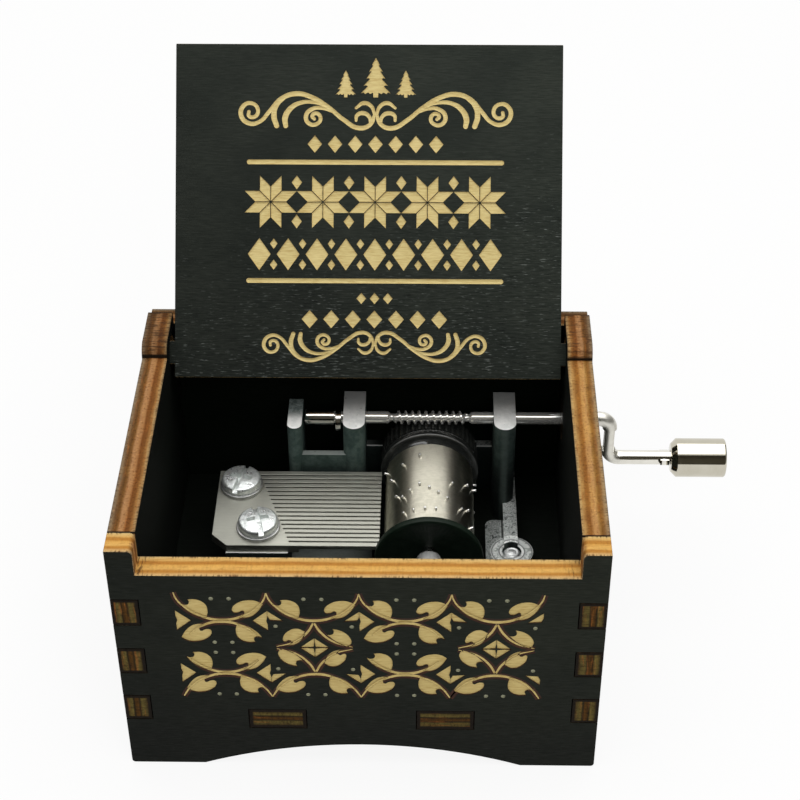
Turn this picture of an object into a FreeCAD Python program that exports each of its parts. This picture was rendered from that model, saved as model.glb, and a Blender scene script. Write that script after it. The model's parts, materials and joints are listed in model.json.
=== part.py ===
import FreeCAD, Part
import Sketcher
import math
import os
import re

# A hand-cranked music box: a finger-jointed plywood case with a lid that turns on its
# own square pegs, and an 18-note comb movement worked by a worm on the crank shaft.
# Millimetres. X runs to the crank, Y to the back, Z up. The origin is on the surface
# that the feet stand on, under the middle of the case.

doc = FreeCAD.newDocument("music_box")

# Each driving dimension, written once.
SIZES = {
    # plywood case
    "box_width": 64.0,
    "box_depth": 52.0,
    "wall_height": 40.0,
    "ply": 3.6,
    "joint_gap": 0.1,
    "overrun": 1.0,
    "finger_height": 4.5,
    "finger_bottom": 9.0,
    "finger_pitch": 9.0,
    "floor_height": 7.4,
    "tab_width": 7.7,
    "tab_offset_front": 11.35,
    "tab_offset_side": 9.0,
    "arch_rise": 4.0,
    "foot_length": 10.2,
    "foot_round": 0.5,
    "notch_drop": 4.1,
    "notch_round": 0.7,
    "ear_rise": 2.0,
    "ear_length": 8.6,
    "ear_round": 2.0,
    "crank_hole_radius": 3.2,
    # lid
    "lid_side_gap": 0.65,
    "lid_tail": 3.55,
    "hinge_back": 7.7,
    "hinge_drop": 2.2,
    "peg_width": 3.3,
    "peg_gap": 0.1,
    "peg_inset": 0.2,
    "lean_gap": 0.08,
    # where the movement stands
    "cylinder_x": 9.0,
    "cylinder_height": 8.0,
    "shaft_back": 5.2,
    # worm, wheel and crank
    "thread_pitch": 1.0,
    "thread_turns": 11.0,
    "thread_crest": 0.24,
    "thread_foot": 0.52,
    "thread_depth": 0.48,
    "worm_core": 0.56,
    "thread_bite": 0.06,
    "mesh_gap": 0.06,
    "worm_relief": 0.6,
    "worm_taper": 0.3,
    "wheel_teeth": 44.0,
    "wheel_addendum": 0.22,
    "wheel_width": 3.5,
    "tooth_gap_crest": 0.74,
    "tooth_gap_root": 0.46,
    "shaft_radius": 0.9,
    "crank_radius": 1.08,
    "crank_step": 8.2,
    "crank_taper": 0.2,
    "crank_flat": 1.4,
    "crank_throw": 7.4,
    "crank_bend": 1.7,
    "arm_gap": 2.95,
    "pin_length": 17.5,
    "ear_gap": 0.25,
    "pinch_width": 2.5,
    "pinch_length": 1.3,
    "pinch_thick": 0.9,
    "knob_radius": 2.92,
    "knob_length": 8.1,
    "knob_chamfer": 0.8,
    "knob_round": 0.3,
    "head_radius": 1.65,
    "head_length": 0.6,
    "head_inset": 1.0,
    "recess_gap": 0.15,
    "recess_floor_gap": 0.1,
    "running_gap": 0.05,
    "press_gap": 0.02,
    "collar_radius": 1.65,
    "collar_shift": 0.28,
    "collar_drop": 0.36,
    "collar_length": 0.85,
    "collar_gap": 0.35,
    "stub_radius": 1.2,
    "stub_length": 4.3,
    "stub_gap": 0.2,
    "stub_chamfer": 0.25,
    "stub_notch": 0.5,
    # cylinder
    "sleeve_radius": 6.45,
    "sleeve_wall": 0.5,
    "sleeve_length": 17.15,
    "pin_height": 0.55,
    "pin_radius": 0.2,
    "pluck_gap": 0.05,
    "flange_radius": 7.3,
    "flange_width": 1.1,
    "groove_width": 0.35,
    "groove_depth": 0.6,
    "tooth_overrun": 0.3,
    "neck_length": 1.15,
    "plug_length": 4.5,
    "cap_flange": 1.0,
    "cap_radius": 7.7,
    "dish_depth": 1.85,
    "dish_rim": 7.3,
    "dish_floor": 2.1,
    "arbor_radius": 1.0,
    "arbor_chamfer": 0.2,
    # comb
    "comb_height": 9.4,
    "comb_thick": 1.3,
    "tooth_thick": 0.7,
    "tooth_pitch": 0.89,
    "comb_teeth": 18.0,
    "slit_width": 0.28,
    "comb_end": 21.9,
    "comb_corner": 2.2,
    "root_rear": 15.9,
    "root_front": 10.9,
    "step_ahead": 1.5,
    "weight_depth": 0.9,
    "weight_length": 5.2,
    "weight_step": 0.5,
    "weight_inset": 1.0,
    "weight_gap": 0.1,
    # frame
    "base_thick": 2.6,
    "plate_thick": 2.0,
    "post_ahead": 4.7,
    "post_behind": 4.1,
    "post_above": 1.6,
    "post_width": 3.2,
    "side_post_width": 2.1,
    "post_short": 1.9,
    "middle_post_out": 2.8,
    "right_post_in": 2.0,
    "posts_apart": 8.65,
    "comb_gap": 0.2,
    "side_wall_height": 12.0,
    "wall_thick": 1.0,
    "rear_wall_height": 8.4,
    "rear_wall_thick": 1.45,
    "wheel_gap": 0.5,
    "well_gap": 0.6,
    "rail_gap": 3.1,
    "rail_round": 1.2,
    "rail_width": 4.7,
    "rib_width": 2.0,
    "rib_height": 0.6,
    "ledge_width": 8.8,
    "ledge_depth": 16.0,
    "ledge_gap": 0.25,
    "ledge_lip": 0.2,
    "eye_radius": 1.75,
    "eye_gap": 1.5,
    "bearing_radius": 2.65,
    "web_thick": 1.1,
    "web_width": 4.6,
    "sill": 0.7,
    "sill_left": 3.0,
    "lug_radius": 3.1,
    "lug_out": 3.8,
    "lug_ahead": 14.55,
    "ledge_lug_in": 2.9,
    "ledge_lug_ahead": 7.8,
    "rear_lug_out": 4.6,
    "rear_lug_back": 0.2,
    # fasteners
    "comb_screw_head": 2.88,
    "comb_screw_rise": 1.25,
    "comb_screw_shank": 1.2,
    "comb_screw_length": 5.2,
    "comb_screw_edge": 0.5,
    "comb_screw_dome": 11.5,
    "rear_screw_in": 1.3,
    "rear_screw_ahead": 3.3,
    "front_screw_in": 4.4,
    "front_screw_ahead": 12.3,
    "slot_width": 0.75,
    "slot_depth": 0.75,
    "cross_reach": 1.6,
    "cross_width": 0.6,
    "washer_radius": 3.12,
    "washer_thick": 0.45,
    "case_screw_head": 2.5,
    "case_screw_rise": 1.6,
    "case_screw_round": 0.8,
    "case_screw_shank": 1.3,
    "case_screw_point": 0.35,
    "screw_gap": 0.1,
    "screw_short": 0.1,
}

# Places that follow from the sizes, each worked out once.
PLACES = {
    "half_width": "box_width / 2",
    "half_depth": "box_depth / 2",
    "inner_x": "half_width - ply",
    "inner_y": "half_depth - ply",
    "floor_top": "floor_height + ply",
    "arch_front": "half_width - foot_length",
    "arch_side": "half_depth - foot_length",
    "hinge_y": "half_depth - hinge_back",
    "hinge_z": "wall_height - hinge_drop",
    "peg_hole": "sqrt((peg_width / 2)^2 + (ply / 2)^2) + peg_gap",
    "axis_z": "floor_top + cylinder_height",
    "shaft_y": "inner_y - shaft_back",
    "wheel_radius": "wheel_teeth * thread_pitch / (2 * pi) + wheel_addendum",
    "mesh_centres": "wheel_radius + worm_core + mesh_gap",
    "shaft_z": "axis_z + mesh_centres",
    "post_front": "shaft_y - post_ahead",
    "post_rear": "shaft_y + post_behind",
    "post_top": "shaft_z + post_above",
    "sleeve_rear": "shaft_y - wheel_width / 2 - groove_width - flange_width - neck_length",
    "sleeve_front": "sleeve_rear - sleeve_length",
    "cap_front": "sleeve_front - cap_flange",
    "web_rear": "cap_front - eye_gap",
    "web_front": "web_rear - web_thick",
    "frame_front": "web_front - sill",
    "wall_front": "shaft_y + wheel_width / 2 + wheel_gap",
    "wall_rear": "wall_front + rear_wall_thick",
    "well_half": "cap_radius + well_gap",
    "well_left": "cylinder_x - well_half",
    "well_right": "cylinder_x + well_half",
    "frame_right": "well_right + rail_width",
    "right_post_x": "frame_right - right_post_in",
    "middle_post_x": "well_left - middle_post_out",
    "left_post_x": "middle_post_x - posts_apart",
    "ledge_right": "left_post_x - ledge_gap",
    "ledge_left": "ledge_right - ledge_width",
    "comb_top": "floor_top + comb_height",
    "ledge_top": "comb_top - comb_thick",
    "comb_rear": "post_front - comb_gap",
    "comb_front": "comb_rear - comb_teeth * tooth_pitch",
    "tooth_under": "comb_top - tooth_thick",
    "pin_tip": "sleeve_radius + pin_height",
    "tip_x": "cylinder_x - sqrt((pin_tip + pluck_gap)^2 - (tooth_under - axis_z)^2)",
    "rear_screw_x": "ledge_left + rear_screw_in",
    "rear_screw_y": "comb_rear - rear_screw_ahead",
    "front_screw_x": "ledge_left + front_screw_in",
    "front_screw_y": "comb_rear - front_screw_ahead",
    "rib_left": "frame_right - rib_width",
    "rail_rear": "post_front - rail_gap",
    "ledge_front": "comb_front - ledge_lip",
    "lug_x": "well_right + lug_out",
    "lug_y": "shaft_y - lug_ahead",
    "ledge_lug_x": "ledge_left + ledge_lug_in",
    "ledge_lug_y": "comb_rear - ledge_lug_ahead",
    "rear_lug_x": "middle_post_x - rear_lug_out",
    "rear_lug_y": "shaft_y + rear_lug_back",
    "arm_x": "half_width + arm_gap + crank_flat / 2",
    "pin_end": "arm_x + pin_length",
    "knob_start": "pin_end - knob_length",
    "worm_start": "cylinder_x - thread_turns * thread_pitch / 2",
    "middle_post_left": "middle_post_x - post_width / 2",
    "collar_right": "middle_post_left - collar_gap",
    "stub_right": "collar_right - collar_length - stub_gap",
    "stub_left": "stub_right - stub_length",
}

FINGERS = 3
WEIGHTED_TEETH = 8

# The pins that show on the cylinder: which tooth each lifts, counted from the back,
# and its angle round the cylinder from the top towards the crank, in degrees.
PINS_ON_TOP = (
    (2, -12), (3, -35), (1, -71), (5, -54), (10, -24), (9, -12), (10, 0), (11, 11),
    (12, 22), (8, 29), (6, 54), (4, 78), (10, -44), (11, -34), (15, -32), (15, -19),
    (15, -5), (15, 8), (13, 43), (12, 55), (15, 64),
)


def fill(sheet, cells):
    """Writes one alias a row: its name, then its number or formula."""
    for row, (alias, content) in enumerate(cells.items(), start=1):
        sheet.set(f"A{row}", alias)
        sheet.set(f"B{row}", content)
        sheet.setAlias(f"B{row}", alias)


def formula(text):
    """Turns plain words into references to the two sheets."""
    def refer(match):
        word = match.group()
        if word in SIZES:
            return "Sizes." + word
        if word in PLACES:
            return "Places." + word
        return word
    return re.sub(r"[a-z_]+", refer, text)


sizes = doc.addObject("Spreadsheet::Sheet", "Sizes")
fill(sizes, {alias: str(size) for alias, size in SIZES.items()})
doc.recompute()
places = doc.addObject("Spreadsheet::Sheet", "Places")
fill(places, {alias: "=" + formula(text) for alias, text in PLACES.items()})
bench = doc.addObject("Spreadsheet::Sheet", "Bench")
doc.recompute()


def number(text):
    """What a formula comes to now."""
    bench.set("A1", "=" + formula(text))
    bench.recompute()
    return float(bench.get("A1"))


def new_body(label, across="0", back="0", up="0"):
    """An empty body for one sub-part, its own origin placed by three formulas."""
    body = doc.addObject("PartDesign::Body", label)
    body.Label = label
    for axis, text in (("x", across), ("y", back), ("z", up)):
        if text != "0":
            body.setExpression("Placement.Base." + axis, formula(text))
    return body


class Drawing:
    """A sketch on a plane of its own body, with every point tied to the sheets."""

    def __init__(self, body, name, plane, height="0"):
        self.body = body
        self.plane = plane
        self.sketch = body.newObject("Sketcher::SketchObject", body.Name + "_" + name)
        planes = body.Origin.OriginFeatures
        support = next(face for face in planes if face.Role == plane + "_Plane")
        self.sketch.AttachmentSupport = [(support, "")]
        self.sketch.MapMode = "FlatFace"
        if height != "0":
            # A sketch on XZ looks towards -Y, so its height counts the other way.
            signed = f"-({height})" if plane == "XZ" else height
            self.sketch.setExpression("AttachmentOffset.Base.z", formula(signed))

    def tie(self, kind, text, *ends):
        """Adds one dimension and binds it to a formula."""
        limit = Sketcher.Constraint(kind, *ends, number(text))
        at = self.sketch.addConstraint(limit)
        self.sketch.setExpression(f"Constraints[{at}]", formula(text))

    def pin(self, item, end, across, up):
        """Ties one point to its place."""
        for kind, axis, text in (("DistanceX", -2, across), ("DistanceY", -1, up)):
            if text == "0":
                limit = Sketcher.Constraint("PointOnObject", item, end, axis)
                self.sketch.addConstraint(limit)
            else:
                self.tie(kind, text, -1, 1, item, end)

    def circle(self, across, up, radius):
        centre = FreeCAD.Vector(number(across), number(up), 0)
        curve = Part.Circle(centre, FreeCAD.Vector(0, 0, 1), number(radius))
        item = self.sketch.addGeometry(curve, False)
        self.pin(item, 3, across, up)
        self.tie("Radius", radius, item)
        return self

    def run(self, corners, closed=True):
        """Lines through the corners. A corner with a side and a radius starts an arc
        whose centre lies on that side of the way along."""
        spots = [FreeCAD.Vector(number(c[0]), number(c[1]), 0) for c in corners]
        count = len(spots) if closed else len(spots) - 1
        pieces = []
        for at in range(count):
            start, end = spots[at], spots[(at + 1) % len(spots)]
            if len(corners[at]) == 2:
                item = self.sketch.addGeometry(Part.LineSegment(start, end), False)
                pieces.append((item, 1, 2))
            else:
                pieces.append(self.bend(start, end, *corners[at][2:]))
        for at in range(count if closed else count - 1):
            here, there = pieces[at], pieces[(at + 1) % count]
            meet = Sketcher.Constraint("Coincident", here[0], here[2], there[0], there[1])
            self.sketch.addConstraint(meet)
        for at in range(count):
            self.pin(pieces[at][0], pieces[at][1], *corners[at][:2])
        if not closed:
            self.pin(pieces[-1][0], pieces[-1][2], *corners[-1][:2])
        return self

    def bend(self, start, end, side, radius):
        size = number(radius)
        chord = end - start
        left = FreeCAD.Vector(-chord.y, chord.x, 0).normalize()
        reach = math.sqrt(max(size ** 2 - chord.Length ** 2 / 4, 0))
        centre = (start + end) / 2 + left * (reach if side == "left" else -reach)
        first, last = (start, end) if side == "left" else (end, start)
        angles = [math.atan2(p.y - centre.y, p.x - centre.x) for p in (first, last)]
        curve = Part.Circle(centre, FreeCAD.Vector(0, 0, 1), size)
        item = self.sketch.addGeometry(Part.ArcOfCircle(curve, *angles), False)
        self.tie("Radius", radius, item)
        return (item, 1, 2) if side == "left" else (item, 2, 1)

    def box(self, left, low, right, high):
        return self.run([(left, low), (right, low), (right, high), (left, high)])

    def feature(self, kind, suffix, **formulas):
        made = self.body.newObject("PartDesign::" + kind, self.sketch.Name + suffix)
        made.Profile = self.sketch
        for name, text in formulas.items():
            made.setExpression(name, formula(text))
        return made

    def pad(self, length, backwards=False, both=False):
        """Adds material towards +X, +Y or +Z."""
        made = self.feature("Pad", "_pad", Length=length)
        made.Reversed = (self.plane == "XZ") != backwards
        if both:
            made.SideType = "Symmetric"
        return made

    def cut(self, length, backwards=False, both=False):
        """Takes material away towards +X, +Y or +Z."""
        made = self.feature("Pocket", "_cut", Length=length)
        made.Reversed = (self.plane != "XZ") != backwards
        if both:
            made.SideType = "Symmetric"
        return made

    def turn(self, axis):
        """Turns the outline all the way round the sketch's own H or V axis."""
        made = self.feature("Revolution", "_turned")
        made.ReferenceAxis = (self.sketch, [axis + "_Axis"])
        made.Angle = 360
        return made


def finger_heights():
    """Low and high formula of each finger up a corner of the case."""
    for index in range(FINGERS):
        low = f"finger_bottom + {index} * finger_pitch"
        yield low, low + " + finger_height"


def foot_and_arch(half, arch):
    """The bottom edge of a wall from its left foot to its right one."""
    arc = f"(({arch})^2 + arch_rise^2) / (2 * arch_rise)"
    return [
        (f"-({arch})", "0", "right", arc),
        ("0", "arch_rise", "right", arc),
        (arch, "0"),
        (f"{half} - foot_round", "0", "left", "foot_round"),
        (half, "foot_round"),
    ]


def end_wall(label, front):
    """The front or back wall: full width, slotted at its ends and for the floor's tabs."""
    body = new_body(label, back="-half_depth" if front else "inner_y")
    edge = foot_and_arch("half_width", "arch_front")
    if front:
        top = "wall_height - notch_drop"
        edge += [
            ("half_width", "wall_height"),
            ("inner_x + notch_round", "wall_height", "left", "notch_round"),
            ("inner_x", "wall_height - notch_round"),
            ("inner_x", top),
            ("-inner_x", top),
            ("-inner_x", "wall_height - notch_round", "left", "notch_round"),
            ("-inner_x - notch_round", "wall_height"),
            ("-half_width", "wall_height"),
        ]
    else:
        edge += [("half_width", "wall_height"), ("-half_width", "wall_height")]
    edge += [
        ("-half_width", "foot_round", "left", "foot_round"),
        ("-half_width + foot_round", "0"),
    ]
    Drawing(body, "outline", "XZ").run(edge).pad("ply")
    slots = Drawing(body, "slots", "XZ")
    for low, high in finger_heights():
        for near, far in (("inner_x - joint_gap", "half_width + overrun"),
                          ("-half_width - overrun", "-inner_x + joint_gap")):
            slots.box(near, low + " - joint_gap", far, high + " + joint_gap")
    for middle in ("-tab_offset_front", "tab_offset_front"):
        slots.box(f"{middle} - tab_width / 2 - joint_gap", "floor_height - joint_gap",
                  f"{middle} + tab_width / 2 + joint_gap", "floor_top")
    slots.cut("ply")


def side_wall(label, right):
    """A side wall: fingers into both end walls, an ear that carries the lid's peg."""
    body = new_body(label, across="inner_x" if right else "-half_width")
    ear_start = "inner_y - ear_length"
    edge = foot_and_arch("inner_y", "arch_side")
    del edge[3:]
    edge += [
        ("inner_y", "0"),
        ("inner_y", "wall_height + ear_rise"),
        (f"{ear_start} + ear_round", "wall_height + ear_rise", "left", "ear_round"),
        (ear_start, "wall_height + ear_rise - ear_round"),
        (ear_start, "wall_height"),
        ("-inner_y", "wall_height"),
        ("-inner_y", "0"),
    ]
    if SIZES["ear_rise"] == SIZES["ear_round"]:
        del edge[6]
    Drawing(body, "outline", "YZ").run(edge).pad("ply")
    fingers = Drawing(body, "fingers", "YZ")
    for low, high in finger_heights():
        fingers.box("inner_y - overrun", low, "half_depth", high)
        fingers.box("-half_depth", low, "-inner_y + overrun", high)
    fingers.pad("ply")
    holes = Drawing(body, "holes", "YZ").circle("hinge_y", "hinge_z", "peg_hole")
    for middle in ("-tab_offset_side", "tab_offset_side"):
        holes.box(f"{middle} - tab_width / 2 - joint_gap", "floor_height - joint_gap",
                  f"{middle} + tab_width / 2 + joint_gap", "floor_top")
    if right:
        holes.circle("shaft_y", "shaft_z", "crank_hole_radius")
    holes.cut("ply")


def floor_panel():
    """The floor: tabs through all four walls, and holes for the screws that hold the frame."""
    body = new_body("bottom_panel", up="floor_height")
    Drawing(body, "outline", "XY").box("-inner_x", "-inner_y", "inner_x", "inner_y").pad("ply")
    tabs = Drawing(body, "tabs", "XY")
    for middle in ("-tab_offset_front", "tab_offset_front"):
        left, right = f"{middle} - tab_width / 2", f"{middle} + tab_width / 2"
        tabs.box(left, "-half_depth", right, "-inner_y + overrun")
        tabs.box(left, "inner_y - overrun", right, "half_depth")
    for middle in ("-tab_offset_side", "tab_offset_side"):
        low, high = f"{middle} - tab_width / 2", f"{middle} + tab_width / 2"
        tabs.box("-half_width", low, "-inner_x + overrun", high)
        tabs.box("inner_x - overrun", low, "half_width", high)
    tabs.pad("ply")
    holes = Drawing(body, "holes", "XY")
    for across, back in LUGS:
        holes.circle(across, back, "case_screw_shank + screw_gap")
    holes.cut("ply")


def lid_open_angle():
    """How far the lid turns from shut until its back face meets the back wall's edge."""
    back, up = number("hinge_back - ply"), number("hinge_drop")
    lean = math.asin(number("ply / 2 + lean_gap") / math.hypot(back, up))
    return 180 - math.degrees(math.atan2(up, back) + lean)


def lid():
    """The lid, drawn shut about its hinge line and then turned open."""
    body = new_body("lid", back="hinge_y", up="hinge_z")
    side = "inner_x - lid_side_gap"
    Drawing(body, "outline", "XY").box(
        f"-({side})", "hinge_back - box_depth", side, "lid_tail").pad("ply", both=True)
    pegs = Drawing(body, "pegs", "XY")
    for near, far in ((f"{side} - overrun", "half_width - peg_inset"),
                      ("peg_inset - half_width", f"overrun - ({side})")):
        pegs.box(near, "-peg_width / 2", far, "peg_width / 2")
    pegs.pad("ply", both=True)
    turned = FreeCAD.Rotation(FreeCAD.Vector(1, 0, 0), -lid_open_angle())
    body.Placement = FreeCAD.Placement(FreeCAD.Vector(), turned)


# Where the three screws through the floor enter the frame.
LUGS = (("lug_x", "lug_y"), ("ledge_lug_x", "ledge_lug_y"), ("rear_lug_x", "rear_lug_y"))
COMB_SCREWS = (("rear_screw_x", "rear_screw_y"), ("front_screw_x", "front_screw_y"))


def post(drawing, middle, width, rear):
    """A post's plan: square at the back, half round at the front."""
    half = f"{width} / 2"
    drawing.run([
        (middle, "post_front", "left", half),
        (f"{middle} + {half}", f"post_front + {half}"),
        (f"{middle} + {half}", rear),
        (f"{middle} - {half}", rear),
        (f"{middle} - {half}", f"post_front + {half}", "left", half),
    ])


def movement_frame():
    """The die-cast frame: a base round the cylinder's well, with the posts, walls and
    bearings that carry the shaft and the cylinder."""
    body = new_body("movement_frame", up="floor_top")
    base = Drawing(body, "base", "XY")
    base.box("ledge_left", "ledge_front", "well_left + overrun", "post_rear - post_short")
    base.pad("plate_thick")
    sill = Drawing(body, "sill", "XY")
    sill.box("well_left - sill_left", "frame_front", "frame_right", "comb_front + overrun")
    sill.pad("base_thick")
    rails = Drawing(body, "rails", "XY")
    rails.box("well_right", "comb_front", "frame_right", "post_rear")
    rails.box("ledge_left", "post_front", "well_left + overrun", "post_rear - post_short")
    rails.pad("base_thick")
    back = Drawing(body, "back", "XY")
    back.box("middle_post_left", "wall_front", "frame_right", "post_rear")
    back.pad("base_thick")
    ledge = Drawing(body, "ledge", "XY")
    ledge.box("ledge_left", "ledge_front", "ledge_right", "ledge_front + ledge_depth")
    ledge.pad("ledge_top - floor_top")
    lug = Drawing(body, "lug", "XY").circle("lug_x", "lug_y", "lug_radius")
    lug.pad("base_thick")
    rib = Drawing(body, "rib", "XY")
    rib.box("rib_left", "lug_y", "frame_right", "post_front + overrun")
    rib.pad("base_thick + rib_height")
    well = Drawing(body, "well", "XY")
    well.run([
        ("well_left", "web_rear"),
        ("well_right", "web_rear"),
        ("well_right", "rail_rear - rail_round", "right", "rail_round"),
        ("well_right + rail_round", "rail_rear"),
        ("rib_left", "rail_rear"),
        ("rib_left", "wall_front"),
        ("well_left", "wall_front"),
    ])
    well.cut("base_thick + overrun")
    posts = Drawing(body, "posts", "XY")
    post(posts, "right_post_x", "post_width", "post_rear")
    post(posts, "middle_post_x", "post_width", "post_rear")
    post(posts, "left_post_x", "side_post_width", "post_rear - post_short")
    posts.pad("post_top - floor_top")
    side = Drawing(body, "side_wall", "XY")
    side.box("left_post_x", "post_front + side_post_width / 2 - wall_thick / 2",
             "middle_post_x", "post_front + side_post_width / 2 + wall_thick / 2")
    side.pad("side_wall_height")
    rear = Drawing(body, "rear_wall", "XY")
    rear.box("middle_post_x", "wall_front", "right_post_x", "wall_rear")
    rear.pad("rear_wall_height")
    bearing = Drawing(body, "bearing", "XZ", "wall_front")
    bearing.circle("cylinder_x", "cylinder_height", "bearing_radius")
    bearing.pad("rear_wall_thick")
    web = Drawing(body, "web", "XZ", "web_front")
    web.box("cylinder_x - web_width / 2", "0", "cylinder_x + web_width / 2", "cylinder_height")
    web.pad("web_thick")
    eye = Drawing(body, "eye", "XZ", "web_front")
    eye.circle("cylinder_x", "cylinder_height", "eye_radius")
    eye.pad("sleeve_front - cap_flange + dish_depth - eye_gap - web_front")
    arbor = Drawing(body, "arbor_hole", "XZ", "web_front")
    arbor.circle("cylinder_x", "cylinder_height", "arbor_radius + running_gap")
    arbor.cut("wall_rear - web_front")
    shaft = Drawing(body, "shaft_hole", "YZ", "middle_post_left")
    shaft.circle("shaft_y", "shaft_z - floor_top", "shaft_radius + running_gap")
    shaft.cut("frame_right - middle_post_left")
    lugs = Drawing(body, "lug_holes", "XY")
    for across, up in LUGS:
        lugs.circle(across, up, "case_screw_shank + screw_gap")
    lugs.cut("base_thick + rib_height + overrun")
    threads = Drawing(body, "comb_holes", "XY", "ledge_top - floor_top")
    for across, up in COMB_SCREWS:
        threads.circle(across, up, "comb_screw_shank + screw_gap")
    threads.cut("comb_screw_length", backwards=True)


def comb():
    """The steel comb: a plate cut into teeth by slits that shorten towards the front,
    thinned under the teeth."""
    body = new_body("comb", up="ledge_top")
    plate = Drawing(body, "plate", "XY")
    plate.run([
        ("-comb_end", "comb_front + comb_corner"),
        ("comb_corner - comb_end", "comb_front"),
        ("tip_x", "comb_front"),
        ("tip_x", "comb_rear"),
        ("-comb_end", "comb_rear"),
    ]).pad("comb_thick")
    step = Drawing(body, "step", "XY")
    step.box("step_ahead - root_front", "comb_front - overrun",
             "tip_x + overrun", "comb_rear + overrun")
    step.cut("comb_thick - tooth_thick")
    slits = Drawing(body, "slits", "XY")
    for tooth in range(1, int(SIZES["comb_teeth"])):
        share = (tooth - 1) / (SIZES["comb_teeth"] - 2)
        root = f"-root_rear + {share:.6f} * (root_rear - root_front)"
        middle = f"comb_rear - {tooth} * tooth_pitch"
        slits.box(root, f"{middle} - slit_width / 2",
                  "tip_x + overrun", f"{middle} + slit_width / 2")
    slits.cut("comb_thick")
    holes = Drawing(body, "holes", "XY")
    for across, up in COMB_SCREWS:
        holes.circle(across, up, "comb_screw_shank + screw_gap")
    holes.cut("comb_thick")


def tuning_weights():
    """The weights under the tips of the lowest teeth, shorter from tooth to tooth."""
    weights = []
    width = "(tooth_pitch - slit_width - weight_gap)"
    for tooth in range(WEIGHTED_TEETH):
        length = f"(weight_length - {tooth} * weight_step)"
        middle = f"comb_rear - {tooth + 0.5} * tooth_pitch"
        weight = doc.addObject("Part::Box", f"weight_{tooth + 1}")
        weight.setExpression("Length", formula(length))
        weight.setExpression("Width", formula(width))
        weight.setExpression("Height", formula("weight_depth"))
        weight.setExpression("Placement.Base.x", formula(f"tip_x - weight_inset - {length}"))
        weight.setExpression("Placement.Base.y", formula(f"{middle} - {width} / 2"))
        weight.setExpression("Placement.Base.z", formula("tooth_under - weight_depth"))
        weights.append(weight)
    group("tuning_weights", weights)


def group(label, pieces):
    """One sub-part made of several like pieces."""
    made = doc.addObject("Part::Compound", label)
    made.Label = label
    made.Links = pieces
    return made


def comb_screw(label, across, back, twist):
    """A domed screw head with a cross and a through slot, on a plain shank."""
    body = new_body(label, across, back, "comb_top + washer_thick")
    flat = "comb_screw_head - comb_screw_edge"
    Drawing(body, "outline", "XZ").run([
        ("0", "-comb_screw_length"),
        ("comb_screw_shank", "-comb_screw_length"),
        ("comb_screw_shank", "0"),
        ("comb_screw_head", "0"),
        ("comb_screw_head", "comb_screw_rise - comb_screw_edge", "left", "comb_screw_edge"),
        (flat, "comb_screw_rise", "left", "comb_screw_dome"),
        ("0", f"comb_screw_rise + ({flat})^2 / (2 * comb_screw_dome)"),
    ]).turn("V")
    slot = Drawing(body, "slot", "XY", "comb_screw_rise - slot_depth")
    slot.box("-slot_width / 2", "-comb_screw_head - overrun",
             "slot_width / 2", "comb_screw_head + overrun")
    slot.cut("slot_depth + overrun")
    cross = Drawing(body, "cross", "XY", "comb_screw_rise - slot_depth")
    cross.box("-cross_reach", "-slot_width / 2", "cross_reach", "slot_width / 2")
    cross.cut("slot_depth + overrun")
    turned = FreeCAD.Rotation(FreeCAD.Vector(0, 0, 1), twist)
    body.Placement = FreeCAD.Placement(FreeCAD.Vector(), turned)
    return body


def comb_washer(label, across, back):
    body = new_body(label, across, back, "comb_top")
    ring = Drawing(body, "ring", "XY").circle("0", "0", "washer_radius")
    ring.circle("0", "0", "comb_screw_shank + screw_gap").pad("washer_thick")
    return body


def case_screw(label, across, back):
    """A screw from under the floor into a lug of the frame."""
    body = new_body(label, across, back, "floor_height")
    reach = "ply + base_thick - screw_short"
    Drawing(body, "outline", "XZ").run([
        ("0", "-case_screw_rise"),
        ("case_screw_head - case_screw_round", "-case_screw_rise", "left", "case_screw_round"),
        ("case_screw_head", "case_screw_round - case_screw_rise"),
        ("case_screw_head", "0"),
        ("case_screw_shank", "0"),
        ("case_screw_shank", f"{reach} - case_screw_point"),
        ("case_screw_shank - case_screw_point", reach),
        ("0", reach),
    ]).turn("V")
    cross = Drawing(body, "cross", "XY", "-case_screw_rise")
    arm, half = "cross_reach", "cross_width / 2"
    cross.run([
        (f"-{half}", f"-{arm}"), (half, f"-{arm}"), (half, f"-{half}"),
        (arm, f"-{half}"), (arm, half), (half, half),
        (half, arm), (f"-{half}", arm), (f"-{half}", half),
        (f"-{arm}", half), (f"-{arm}", f"-{half}"), (f"-{half}", f"-{half}"),
    ]).cut("slot_depth")
    return body


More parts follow.
